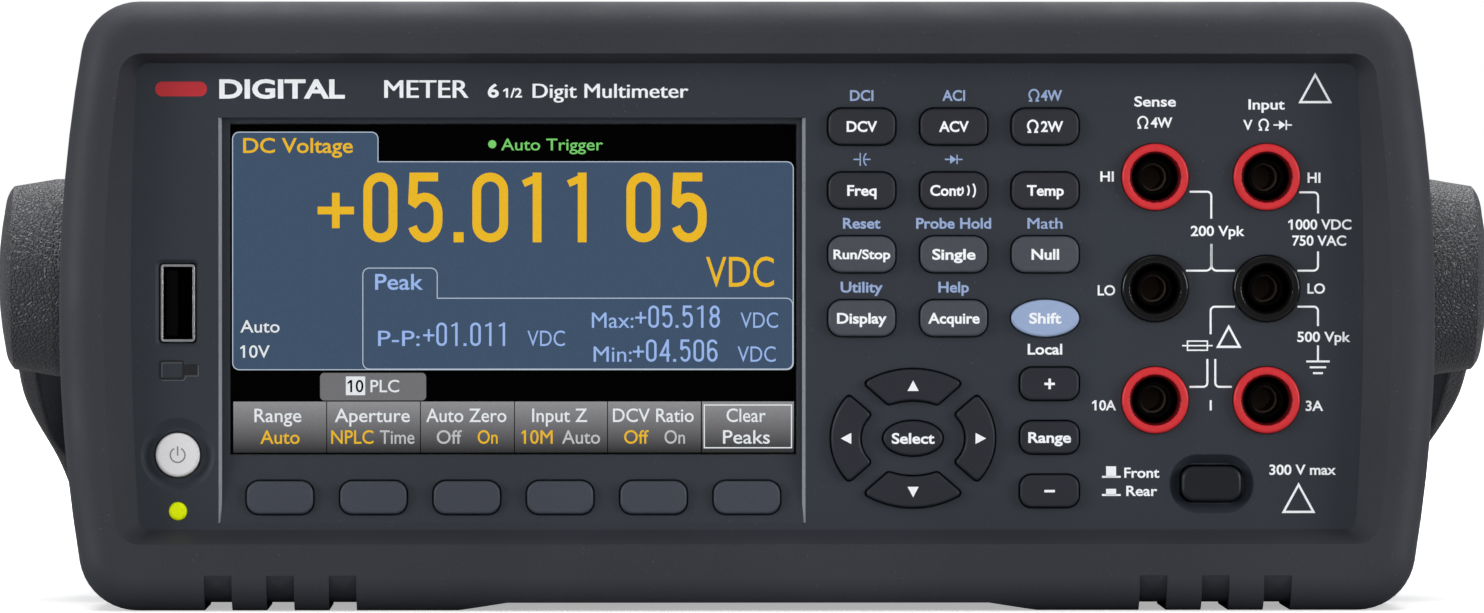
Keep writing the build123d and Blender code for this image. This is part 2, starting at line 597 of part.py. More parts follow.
# ================================================================ front / rear source switch
with BuildPart() as source_switch_button:
    with BuildSketch(facing_front(PANEL_Y - 1.2)):
        with Locations((SWITCH_X, SWITCH_Z)):
            RectangleRounded(SWITCH_W, SWITCH_H, 2.2)
    extrude(amount=-10.0)
    fillet(source_switch_button.faces().sort_by(Axis.Y)[0].edges(), 0.7)
    with BuildSketch(facing_front(PANEL_Y + 8.0)):
        with Locations((SWITCH_X, SWITCH_Z)):
            Rectangle(ROD, ROD)
    extrude(amount=-(SWITCH_BODY_Y[0] + 4.0 - PANEL_Y - 8.0))
source_switch_button.part.label = "source_switch_button"
export_step(source_switch_button.part, "parts/source_switch_button.step")

with BuildPart() as source_switch_body:
    body_mid_z = MAIN_BOARD_Z + BOARD_T + FIT + 5.0
    with BuildSketch(facing_front(SWITCH_BODY_Y[0])):
        with Locations((SWITCH_X, body_mid_z)):
            Rectangle(13.0, 10.0)
    extrude(amount=-(SWITCH_BODY_Y[1] - SWITCH_BODY_Y[0]))
    with BuildSketch(facing_front(SWITCH_BODY_Y[0])):
        with Locations((SWITCH_X, SWITCH_Z)):
            Rectangle(ROD + 0.3, ROD + 0.3)
    extrude(amount=-9.0, mode=Mode.SUBTRACT)
source_switch_body.part.label = "source_switch_body"
export_step(source_switch_body.part, "parts/source_switch_body.step")

# ================================================================ safety terminals
RED_RINGS = {"front": (0, 1, 4, 5), "rear": (0, 1, 4)}
BLACK_RINGS = {"front": (2, 3), "rear": (2, 3)}
FUSE_CAP_INDEX = 5


def from_wall(side, depth):
    """The y of a plane that lies a given depth inside the front or the rear wall."""
    return PANEL_Y + depth if side == "front" else REAR_Y - depth


def tube(side, centres, outer, inner, start, end):
    """Tubes that run inwards from a wall; inner may be 0. Depths count from the wall's face."""
    with BuildSketch(facing_front(from_wall(side, start))) as section:
        with Locations(*centres):
            Circle(outer)
            if inner:
                Circle(inner, mode=Mode.SUBTRACT)
    way = -1 if side == "front" else 1
    return extrude(section.sketch, amount=way * (end - start), mode=Mode.PRIVATE)


for ring_name, chosen in (("terminal_rings_red", RED_RINGS), ("terminal_rings_black", BLACK_RINGS)):
    with BuildPart() as rings:
        for side, indices in chosen.items():
            centres = [FRONT_TERMINALS[i] for i in indices]
            add(tube(side, centres, RING_R, RING_BORE, -RING_PROUD, RING_LENGTH - RING_PROUD))
        for radius, edge in ((RING_R, RING_OUTER_EDGE), (RING_BORE, RING_INNER_EDGE)):
            rims = [e for e in rings.edges().filter_by(GeomType.CIRCLE) if abs(e.radius - radius) < FIT]
            fillet([e for e in rims if e.center().Y < PANEL_Y - 1 or e.center().Y > REAR_Y + 1], edge)
    rings.part.label = ring_name
    export_step(rings.part, f"parts/{ring_name}.step")

with BuildPart() as contact_sleeves:
    for side, centres in (("front", FRONT_TERMINALS), ("rear", REAR_TERMINALS)):
        bore_end = CONTACT_START + CONTACT_BORE_DEPTH
        add(tube(side, centres, CONTACT_R, CONTACT_BORE, CONTACT_START, bore_end))
        add(tube(side, centres, CONTACT_R, 0, bore_end, CONTACT_END))
        add(tube(side, centres, TAIL_R, 0, CONTACT_END, BLOCK_END + TAIL_LENGTH))
contact_sleeves.part.label = "contact_sleeves"
export_step(contact_sleeves.part, "parts/contact_sleeves.step")

for side, centres in (("front", FRONT_TERMINALS), ("rear", REAR_TERMINALS)):
    block_name = f"{side}_terminal_block"
    with BuildPart() as block:
        with BuildSketch(facing_front(from_wall(side, BLOCK_START))) as slab:
            with Locations((sum(TERMINAL_X) / 2, sum(TERMINAL_Z) / 3)):
                RectangleRounded(PITCH + 14.4, 2 * PITCH + 14.4, 3.0)
        way = -1 if side == "front" else 1
        extrude(slab.sketch, amount=way * (BLOCK_END - BLOCK_START))
        add(tube(side, centres, GROOVE_R, 0, BLOCK_START, GROOVE_END), mode=Mode.SUBTRACT)
        add(tube(side, centres, TUBE_R, 0, TUBE_START, GROOVE_END + 0.5))
        add(tube(side, centres, TUBE_BORE, 0, TUBE_START, BLOCK_END), mode=Mode.SUBTRACT)
        if side == "rear":
            add(tube(side, [FUSE_CAP], 6.4, 0, BLOCK_START, BLOCK_END), mode=Mode.SUBTRACT)
    block.part.label = block_name
    export_step(block.part, f"parts/{block_name}.step")

# ================================================================ handle
HUB_AXIS = Axis((0, PIVOT_Y, PIVOT_Z), (1, 0, 0))
CROWN_X = WIDTH / 2
CUP_R = (BOSS_R + 0.05, 11.0, 14.4)  # bore, wall around the bore, inside of the rim
CUP_END_X = 122.0
CROWN_R, CROWN_RISE = 13.2, 1.35
DOME_RADIUS = (CROWN_R**2 + CROWN_RISE**2) / (2 * CROWN_RISE)  # its centre lies on the hub axis

with BuildPart() as handle_drum:
    with BuildSketch(Plane.XY.offset(PIVOT_Z)):
        with BuildLine():
            edge = (DRUM_X_OUT, PIVOT_Y + DRUM_R_OUT)
            shoulder = (CROWN_X - CROWN_RISE, PIVOT_Y + CROWN_R)
            Polyline(
                (CROWN_X, PIVOT_Y),
                (BOSS_END + 0.4, PIVOT_Y),
                (BOSS_END + 0.4, PIVOT_Y + CUP_R[0]),
                (DRUM_X_IN, PIVOT_Y + CUP_R[0]),
                (DRUM_X_IN, PIVOT_Y + CUP_R[1]),
                (CUP_END_X, PIVOT_Y + CUP_R[1]),
                (CUP_END_X, PIVOT_Y + CUP_R[2]),
                (DRUM_X_IN, PIVOT_Y + CUP_R[2]),
                (DRUM_X_IN, PIVOT_Y + DRUM_R_IN),
                (DRUM_TAPER_X, PIVOT_Y + DRUM_R_IN),
                edge,
            )
            ThreePointArc(edge, (DRUM_X_OUT + 0.95, PIVOT_Y + DRUM_R_OUT - 1.3), shoulder)
            halfway = asin(CROWN_R / DOME_RADIUS) / 2
            middle_x = CROWN_X - DOME_RADIUS * (1 - cos(halfway))
            middle = (middle_x, PIVOT_Y + DOME_RADIUS * sin(halfway))
            ThreePointArc(shoulder, middle, (CROWN_X, PIVOT_Y))
        make_face()
    revolve(axis=HUB_AXIS)

with BuildPart() as handle:
    bar_out_y, bar_in_y = PIVOT_Y + BAR_BACK, PIVOT_Y + BAR_FRONT
    arm_out_x, arm_in_x = ARM_X - 0.5, ARM_X - 0.5 - ARM_T
    bend_y = PIVOT_Y + ARM_BEND
    with BuildSketch(Plane.XY):
        with BuildLine():
            Spline(
                (arm_out_x, bend_y),
                (arm_out_x - ARM_DRAW, PIVOT_Y + ARM_DRAW_AT),
                (118.5, PIVOT_Y + 108),
                (106.5, bar_out_y - 12),
                (BAR_BEND_X, bar_out_y),
                tangents=((0, 1), (-1, 0)),
            )
            Polyline((BAR_BEND_X, bar_out_y), (0, bar_out_y), (0, bar_in_y), (BAR_INNER_X, bar_in_y))
            Spline(
                (BAR_INNER_X, bar_in_y),
                (112.0, bar_in_y - 11),
                (arm_in_x - ARM_DRAW, PIVOT_Y + ARM_DRAW_AT + 2),
                (arm_in_x, bend_y),
                tangents=((1, 0), (0, -1)),
            )
            Polyline(
                (arm_in_x, bend_y),
                (arm_in_x, PIVOT_Y - 20),
                (arm_out_x, PIVOT_Y - 20),
                (arm_out_x, bend_y),
            )
        make_face()
    extrude(amount=HEIGHT)
    with BuildSketch(facing_side(0)):
        with BuildLine():
            top = (PIVOT_Y + 6.7, PIVOT_Z + 14.2)
            low = (PIVOT_Y - 6.1, PIVOT_Z - 14.4)
            ThreePointArc(top, (PIVOT_Y - 15.7, PIVOT_Z), low)
            Polyline(
                low,
                (bar_in_y - 8, BAR_LOW_Z),
                (bar_out_y + 1, BAR_LOW_Z),
                (bar_out_y + 1, BAR_HIGH_Z),
                (bar_in_y, BAR_HIGH_Z),
                top,
            )
        make_face()
    extrude(amount=WIDTH, mode=Mode.INTERSECT)
    fillet([e for e in handle.edges() if e.center().X > 1], ARM_EDGE)
    add(handle_drum.part)
    mirror(about=Plane.YZ)
handle.part.label = "handle"
export_step(handle.part, "parts/handle.step")

with BuildPart() as handle_pivots:
    for side in (-1, 1):
        start = CASE_W / 2 + FIT
        with BuildSketch(facing_side(side * start)):
            with Locations((PIVOT_Y, PIVOT_Z)):
                Circle(BOSS_R)
        extrude(amount=side * (BOSS_END - start))
        with BuildSketch(facing_side(side * start)):
            with Locations((PIVOT_Y, PIVOT_Z)):
                Rectangle(BOSS_SQUARE, BOSS_SQUARE)
        extrude(amount=-side * 3.5)
        with BuildSketch(facing_side(side * (CASE_W / 2 - SHEET - FIT))):
            with Locations((PIVOT_Y, PIVOT_Z)):
                Rectangle(16.0, 16.0)
        extrude(amount=-side * 2.0)
handle_pivots.part.label = "handle_pivots"
export_step(handle_pivots.part, "parts/handle_pivots.step")

# ================================================================ rear panel and its connectors
PLUG_X, PLUG_Z, PLUG_W, PLUG_H = 20.0, 68.0, 56.0, 15.0
LAN_W, LAN_H, USB_B_W, USB_B_H = 16.4, 13.8, 12.0, 11.0
LAN_X, USB_B_X, PORT_Z = 8.0, -12.0, 30.5
FAN_HUB_R, FAN_BLADE_R, FAN_BLADES = 8.5, 17.6, 7
FAN_Y = REAR_INNER_Y - FIT - FAN_T
GRILLE_RINGS = (5.0, 9.5, 14.0, 18.5)
GRILLE_BAR = 1.8
CAP_HOLE_R = 6.2

with BuildPart() as rear_panel:
    with BuildSketch(facing_front(REAR_Y)):
        with Locations((0, CASE_MID_Z)):
            RectangleRounded(CASE_W, CASE_H, CASE_CORNER)
        with Locations(*REAR_TERMINALS):
            Circle(RING_R + FIT, mode=Mode.SUBTRACT)
        with Locations(FUSE_CAP):
            Circle(CAP_HOLE_R, mode=Mode.SUBTRACT)
        with Locations(*[(x, BNC_Z) for x in BNC_X]):
            Circle(BNC_R + 0.1, mode=Mode.SUBTRACT)
        with Locations((INLET_X, INLET_Z)):
            Rectangle(INLET_W, INLET_H, mode=Mode.SUBTRACT)
        with Locations((PLUG_X, PLUG_Z)):
            Rectangle(PLUG_W - 14, PLUG_H - 4, mode=Mode.SUBTRACT)
        with Locations((LAN_X, PORT_Z)):
            Rectangle(LAN_W, LAN_H, mode=Mode.SUBTRACT)
        with Locations((USB_B_X, PORT_Z)):
            Rectangle(USB_B_W + 0.4, USB_B_H + 0.4, mode=Mode.SUBTRACT)
        with Locations((-REAR_POST_X, REAR_POST_Z), (REAR_POST_X, REAR_POST_Z), (GROUND_X, GROUND_Z)):
            Circle(SCREW_R + 0.15, mode=Mode.SUBTRACT)
    extrude(amount=REAR_T)
    for inner, outer in zip((1.6, *GRILLE_RINGS), GRILLE_RINGS):
        with BuildSketch(facing_front(REAR_Y)) as slots:
            with Locations((FAN_X, FAN_Z)):
                Circle(outer - GRILLE_BAR / 2)
                Circle(inner + GRILLE_BAR / 2, mode=Mode.SUBTRACT)
                Rectangle(50, GRILLE_BAR, rotation=45, mode=Mode.SUBTRACT)
                Rectangle(50, GRILLE_BAR, rotation=-45, mode=Mode.SUBTRACT)
        extrude(amount=REAR_T, mode=Mode.SUBTRACT)
rear_panel.part.label = "rear_panel"
export_step(rear_panel.part, "parts/rear_panel.step")

with BuildPart() as fan_frame:
    with BuildSketch(facing_front(FAN_Y)):
        with Locations((FAN_X, FAN_Z)):
            RectangleRounded(FAN_SIZE, FAN_SIZE, 3.0)
            Circle(FAN_BLADE_R + 0.7, mode=Mode.SUBTRACT)
            with GridLocations(32, 32, 2, 2):
                Circle(1.7, mode=Mode.SUBTRACT)
    extrude(amount=-FAN_T)
    with BuildSketch(facing_front(FAN_Y)):
        with Locations((FAN_X, FAN_Z)):
            Circle(FAN_HUB_R + 0.5)
            Rectangle(2 * FAN_BLADE_R + 2, 2.4, rotation=30)
            Rectangle(2 * FAN_BLADE_R + 2, 2.4, rotation=-30)
    extrude(amount=-1.4)
    with BuildSketch(facing_front(FAN_Y)):
        with Locations((FAN_X, FAN_Z)):
            Circle(1.0)
    extrude(amount=-FAN_T + 1.2)
fan_frame.part.label = "fan_frame"
export_step(fan_frame.part, "parts/fan_frame.step")

with BuildPart() as fan_rotor:
    with BuildSketch(facing_front(FAN_Y + 1.7)):
        with Locations((FAN_X, FAN_Z)):
            Circle(FAN_HUB_R)
            Circle(1.05, mode=Mode.SUBTRACT)
    extrude(amount=-(FAN_T - 2.2))
    for i in range(FAN_BLADES):
        blade_plane = Plane(origin=(FAN_X, FAN_Y + 5.6, FAN_Z), x_dir=(0, 1, 0), z_dir=(1, 0, 0))
        blade_plane = blade_plane.rotated((0, 360 / FAN_BLADES * i, 0), ordering=Extrinsic.XYZ)
        with BuildSketch(blade_plane.offset(FAN_HUB_R - 0.6)):
            Rectangle(7.4, 1.2, rotation=52)
        with BuildSketch(blade_plane.offset(FAN_BLADE_R - 0.9)):
            Rectangle(8.6, 0.9, rotation=36)
        loft()
fan_rotor.part.label = "fan_rotor"
export_step(fan_rotor.part, "parts/fan_rotor.step")

SOCKET_HALF_W, SOCKET_HALF_H, SOCKET_CUT, SOCKET_DEPTH = 11.9, 8.2, 4.0, 18.0
SOCKET_DROP, DRAWER_RISE = 10.0, 12.5  # from the middle of the inlet
BLADE, BLADE_LENGTH = (2.0, 4.0), 15.5

with BuildPart() as mains_inlet:
    with BuildSketch(facing_front(REAR_Y + 2.6)):
        with Locations((INLET_X, INLET_Z)):
            RectangleRounded(INLET_W + 3.6, INLET_H + 3.6, 2.0)
    extrude(amount=2.5)
    with BuildSketch(facing_front(REAR_Y + 0.2)):
        with Locations((INLET_X, INLET_Z)):
            Rectangle(INLET_W - 0.4, INLET_H - 0.4)
    extrude(amount=34.0)
    inlet_face = Plane(origin=(0, REAR_Y + 2.6, 0), x_dir=(-1, 0, 0), z_dir=(0, 1, 0))
    with BuildSketch(inlet_face) as socket:
        with Locations((-INLET_X, INLET_Z - SOCKET_DROP)):
            with BuildLine():
                Polyline(
                    (-SOCKET_HALF_W, SOCKET_HALF_H),
                    (SOCKET_HALF_W, SOCKET_HALF_H),
                    (SOCKET_HALF_W, SOCKET_CUT - SOCKET_HALF_H),
                    (SOCKET_HALF_W - SOCKET_CUT, -SOCKET_HALF_H),
                    (SOCKET_CUT - SOCKET_HALF_W, -SOCKET_HALF_H),
                    (-SOCKET_HALF_W, SOCKET_CUT - SOCKET_HALF_H),
                    close=True,
                )
            make_face()
    extrude(socket.sketch, amount=-SOCKET_DEPTH, mode=Mode.SUBTRACT)
    with BuildSketch(inlet_face.offset(-SOCKET_DEPTH)) as blades:
        with Locations((-INLET_X, INLET_Z - SOCKET_DROP)):
            with Locations((-7.0, -2.0), (7.0, -2.0), (0, 2.0)):
                Rectangle(*BLADE)
    extrude(blades.sketch, amount=BLADE_LENGTH)
    with BuildSketch(inlet_face) as drawer:
        with Locations((-INLET_X, INLET_Z + DRAWER_RISE)):
            RectangleRounded(25.0, 17.0, 1.5)
            RectangleRounded(24.2, 16.2, 1.2, mode=Mode.SUBTRACT)
        with Locations((-INLET_X, INLET_Z + DRAWER_RISE + 6.1)):
            Rectangle(8.0, 2.2)
        with Locations((-INLET_X, INLET_Z + DRAWER_RISE - 3.5)):
            Rectangle(14.0, 6.0)
    extrude(drawer.sketch, amount=-1.0, mode=Mode.SUBTRACT)
mains_inlet.part.label = "mains_inlet"
export_step(mains_inlet.part, "parts/mains_inlet.step")

BNC_NUT, BNC_NUT_T = 7.6, 2.2
BNC_OUT, BNC_IN = 13.0, 16.0  # how far the barrel stands out of the rear panel and reaches in
BNC_MOUTH_R, BNC_INSULATOR_R, BNC_PIN_R = 4.05, 2.4, 0.7
BNC_MOUTH_DEPTH, BNC_INSULATOR_OUT = 9.5, 11.5
LUG_AT, LUG_R, LUG_REACH = 9.5, 1.0, 5.6

with BuildPart() as bnc_connectors:
    for x in BNC_X:
        barrel = Plane(origin=(x, REAR_Y + FIT, BNC_Z), x_dir=(-1, 0, 0), z_dir=(0, 1, 0))
        with BuildSketch(barrel):
            RegularPolygon(BNC_NUT, 6)
        extrude(amount=BNC_NUT_T)
        with BuildSketch(barrel.offset(-BNC_IN)):
            Circle(BNC_R)
        extrude(amount=BNC_IN + BNC_OUT)
        with BuildSketch(Plane.XY.offset(BNC_Z)):
            with Locations((x, REAR_Y + FIT + LUG_AT)):
                Circle(LUG_R)
        extrude(amount=LUG_REACH, both=True)
        with BuildSketch(barrel.offset(BNC_OUT)):
            Circle(BNC_MOUTH_R)
        extrude(amount=-BNC_MOUTH_DEPTH, mode=Mode.SUBTRACT)
        with BuildSketch(barrel.offset(BNC_INSULATOR_OUT)):
            Circle(BNC_INSULATOR_R)
            Circle(BNC_PIN_R, mode=Mode.SUBTRACT)
        extrude(amount=-(BNC_INSULATOR_OUT - BNC_OUT + BNC_MOUTH_DEPTH + 0.2))
bnc_connectors.part.label = "bnc_connectors"
export_step(bnc_connectors.part, "parts/bnc_connectors.step")

PORT_PROUD = 0.6
LAN_LENGTH, LAN_MOUTH, LAN_PINS, LAN_PIN_PITCH = 21.0, 12.0, 8, 1.02
rear_face = Plane(origin=(0, REAR_Y + PORT_PROUD, 0), x_dir=(-1, 0, 0), z_dir=(0, 1, 0))

with BuildPart() as lan_socket:
    with BuildSketch(facing_front(REAR_Y + PORT_PROUD)):
        with Locations((LAN_X, PORT_Z)):
            Rectangle(LAN_W - 0.4, LAN_H - 0.4)
    extrude(amount=LAN_LENGTH)
    with BuildSketch(rear_face) as opening:
        with Locations((-LAN_X, PORT_Z - 0.6)):
            Rectangle(11.8, 7.2)
        with Locations((-LAN_X, PORT_Z + 3.6)):
            Rectangle(6.4, 2.4)
        with Locations((-LAN_X, PORT_Z + 4.9)):
            Rectangle(3.4, 1.4)
    extrude(opening.sketch, amount=-LAN_MOUTH, mode=Mode.SUBTRACT)
    with BuildSketch(rear_face.offset(-1.4)) as pins:
        with Locations((-LAN_X, PORT_Z - 3.2)):
            with GridLocations(LAN_PIN_PITCH, 1, LAN_PINS, 1):
                Rectangle(0.45, 1.6)
    extrude(pins.sketch, amount=-(LAN_MOUTH - 1.2))
lan_socket.part.label = "lan_socket"
export_step(lan_socket.part, "parts/lan_socket.step")

USB_B_LENGTH, USB_B_MOUTH = 17.0, 10.0
USB_B_HALF_W, USB_B_HALF_H, USB_B_CUT = 4.2, 3.9, 1.6

with BuildPart() as usb_b_socket:
    with BuildSketch(facing_front(REAR_Y + PORT_PROUD)):
        with Locations((USB_B_X, PORT_Z)):
            Rectangle(USB_B_W, USB_B_H)
    extrude(amount=USB_B_LENGTH)
    with BuildSketch(rear_face) as opening:
        with Locations((-USB_B_X, PORT_Z)):
            with BuildLine():
                Polyline(
                    (-USB_B_HALF_W, -USB_B_HALF_H),
                    (USB_B_HALF_W, -USB_B_HALF_H),
                    (USB_B_HALF_W, USB_B_HALF_H - USB_B_CUT),
                    (USB_B_HALF_W - USB_B_CUT, USB_B_HALF_H),
                    (USB_B_CUT - USB_B_HALF_W, USB_B_HALF_H),
                    (-USB_B_HALF_W, USB_B_HALF_H - USB_B_CUT),
                    close=True,
                )
            make_face()
            Rectangle(5.6, 3.2, mode=Mode.SUBTRACT)
    extrude(opening.sketch, amount=-USB_B_MOUTH, mode=Mode.SUBTRACT)
usb_b_socket.part.label = "usb_b_socket"
export_step(usb_b_socket.part, "parts/usb_b_socket.step")

SHROUD_W, SHROUD_H, SHROUD_WALL, SHROUD_OUT, SHROUD_ANGLE = 38.4, 10.2, 0.8, 6.6, 80

with BuildPart() as interface_connector:
    plug_plane = Plane(origin=(PLUG_X, REAR_Y + FIT, PLUG_Z), x_dir=(-1, 0, 0), z_dir=(0, 1, 0))
    with BuildSketch(plug_plane):
        RectangleRounded(PLUG_W, PLUG_H, 2.0)
        with GridLocations(PLUG_W - 7.6, 1, 2, 1):
            Circle(1.5, mode=Mode.SUBTRACT)
    extrude(amount=1.4)
    with BuildSketch(plug_plane):
        Rectangle(PLUG_W - 14.4, PLUG_H - 4.4)
    extrude(amount=-9.0)
    with BuildSketch(plug_plane):
        Trapezoid(SHROUD_W, SHROUD_H, SHROUD_ANGLE)
        Trapezoid(
            SHROUD_W - 2 * SHROUD_WALL, SHROUD_H - 2 * SHROUD_WALL, SHROUD_ANGLE, mode=Mode.SUBTRACT
        )
        Rectangle(32.0, 3.0)
    extrude(amount=SHROUD_OUT)
interface_connector.part.label = "interface_connector"
export_step(interface_connector.part, "parts/interface_connector.step")

CAP_FLANGE_R, CAP_FLANGE_T, CAP_R, CAP_OUT, CAP_IN = 7.2, 2.4, 6.0, 4.0, 26.0
CAP_SLOT, CAP_SLOT_DEPTH = (8.0, 1.2), 1.6

with BuildPart() as current_fuse_cap:
    cap_plane = Plane(
        origin=(FUSE_CAP[0], REAR_Y + FIT, FUSE_CAP[1]), x_dir=(-1, 0, 0), z_dir=(0, 1, 0)
    )
    with BuildSketch(cap_plane):
        Circle(CAP_FLANGE_R)
    extrude(amount=CAP_FLANGE_T)
    with BuildSketch(cap_plane.offset(CAP_FLANGE_T)):
        Circle(CAP_R)
    extrude(amount=CAP_OUT, taper=4)
    fillet(current_fuse_cap.faces().sort_by(Axis.Y)[-1].edges(), 0.6)
    with BuildSketch(cap_plane.offset(CAP_FLANGE_T + CAP_OUT)):
        Rectangle(*CAP_SLOT)
    extrude(amount=-CAP_SLOT_DEPTH, mode=Mode.SUBTRACT)
    with BuildSketch(cap_plane):
        Circle(CAP_HOLE_R - 0.1)
    extrude(amount=-CAP_IN)
current_fuse_cap.part.label = "current_fuse_cap"
export_step(current_fuse_cap.part, "parts/current_fuse_cap.step")

# ================================================================ inside the case
MAIN_TOP_Z = MAIN_BOARD_Z + BOARD_T
TRANSFORMER_AT = (-80.0, 20.0)
CORE, CORE_STACK, CORE_FOOT = (26.0, 60.0), 24.0, 3.0
WINDING, WINDING_LENGTH = (24.0, 36.0), 44.0
CHIP, CHIP_H, TALL_H = 24.0, 6.0, 26.0
RELAY, CAPACITOR_R = (10.0, 18.0), 7.0

with BuildPart() as main_board:
    with BuildSketch(Plane.XY.offset(MAIN_BOARD_Z)):
        with Locations(MAIN_BOARD_AT):
            Rectangle(*MAIN_BOARD)
        with Locations(*STANDOFFS):
            Circle(1.6, mode=Mode.SUBTRACT)
    extrude(amount=BOARD_T)
    with BuildSketch(Plane.XY.offset(MAIN_TOP_Z)):
        with Locations((-20.0, -70.0), (30.0, -60.0), (-10.0, 10.0)):
            RectangleRounded(CHIP, CHIP, 0.5)
        with Locations((60.0, -20.0)):
            with GridLocations(RELAY[0] + 6, RELAY[1] + 4, 3, 2):
                Rectangle(*RELAY)
    extrude(amount=CHIP_H)
    with BuildSketch(Plane.XY.offset(MAIN_TOP_Z)):
        with Locations((-35.0, 55.0)):
            with GridLocations(2.4 * CAPACITOR_R, 2.4 * CAPACITOR_R, 2, 2):
                Circle(CAPACITOR_R)
        with Locations((20.0, 60.0)):
            Rectangle(40.0, 4.0)
            with GridLocations(6.0, 1, 7, 1):
                Rectangle(1.5, 14.0)
    extrude(amount=TALL_H)
main_board.part.label = "main_board"
export_step(main_board.part, "parts/main_board.step")

with BuildPart() as transformer:
    with BuildSketch(Plane.XY.offset(TRAY_TOP_Z + 0.05)):
        with Locations(TRANSFORMER_AT):
            Rectangle(*CORE)
    extrude(amount=CORE_FOOT)
    with BuildSketch(facing_front(TRANSFORMER_AT[1] - CORE_STACK / 2)):
        with Locations((TRANSFORMER_AT[0], TRAY_TOP_Z + CORE_FOOT + CORE[1] / 2)):
            Rectangle(*CORE)
    extrude(amount=-CORE_STACK)
    with BuildSketch(facing_front(TRANSFORMER_AT[1] - WINDING_LENGTH / 2)):
        with Locations((TRANSFORMER_AT[0], TRAY_TOP_Z + CORE_FOOT + CORE[1] / 2)):
            RectangleRounded(*WINDING, 6.0)
    extrude(amount=-WINDING_LENGTH)
transformer.part.label = "transformer"
export_step(transformer.part, "parts/transformer.step")

RIBBON_X, RIBBON_Z, RIBBON_W, RIBBON_RUN, RIBBON_TURN = -28.0, 30.0, 36.0, 8.0, 5.0

with BuildPart() as ribbon_cable:
    plug_y = BOARD_Y + BOARD_T + 1.6
    turn_y = plug_y + RIBBON_RUN
    with BuildSketch(facing_side(RIBBON_X)):
        with BuildLine():
            Line((plug_y, RIBBON_Z), (turn_y, RIBBON_Z))
            JernArc((turn_y, RIBBON_Z), (1, 0), RIBBON_TURN, -90)
            Line((turn_y + RIBBON_TURN, RIBBON_Z - RIBBON_TURN), (turn_y + RIBBON_TURN, MAIN_TOP_Z + 3.1))
            offset(amount=0.45, side=Side.LEFT)
        make_face()
    extrude(amount=RIBBON_W)
ribbon_cable.part.label = "ribbon_cable"
export_step(ribbon_cable.part, "parts/ribbon_cable.step")
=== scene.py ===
import math

import bmesh
import bpy
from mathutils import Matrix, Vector


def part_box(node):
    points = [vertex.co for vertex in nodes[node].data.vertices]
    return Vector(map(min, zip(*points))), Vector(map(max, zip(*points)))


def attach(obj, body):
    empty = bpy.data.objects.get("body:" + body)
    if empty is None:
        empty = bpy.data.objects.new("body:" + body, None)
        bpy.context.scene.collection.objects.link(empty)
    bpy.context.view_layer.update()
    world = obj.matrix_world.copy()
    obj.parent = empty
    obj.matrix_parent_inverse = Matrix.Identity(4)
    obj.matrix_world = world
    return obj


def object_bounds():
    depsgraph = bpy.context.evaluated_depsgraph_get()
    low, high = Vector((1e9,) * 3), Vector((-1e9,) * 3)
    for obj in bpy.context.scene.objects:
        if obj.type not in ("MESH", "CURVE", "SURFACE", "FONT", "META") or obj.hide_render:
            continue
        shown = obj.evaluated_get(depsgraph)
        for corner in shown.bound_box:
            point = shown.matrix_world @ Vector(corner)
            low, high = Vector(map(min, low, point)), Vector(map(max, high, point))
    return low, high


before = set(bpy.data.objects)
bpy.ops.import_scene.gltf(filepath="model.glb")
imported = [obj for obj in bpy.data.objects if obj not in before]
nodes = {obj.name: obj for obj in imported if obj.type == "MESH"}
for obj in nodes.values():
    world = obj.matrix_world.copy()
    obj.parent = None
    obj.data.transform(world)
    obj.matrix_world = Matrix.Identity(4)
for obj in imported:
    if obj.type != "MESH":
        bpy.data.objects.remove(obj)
cad_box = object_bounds()
MM = 0.001
CASE = "instrument"


def linear(red, green, blue):
    """A display colour, 0 to 255, as linear light."""
    out = []
    for v in (red, green, blue):
        v /= 255
        out.append(v / 12.92 if v <= 0.04045 else ((v + 0.055) / 1.055) ** 2.4)
    return (*out, 1.0)


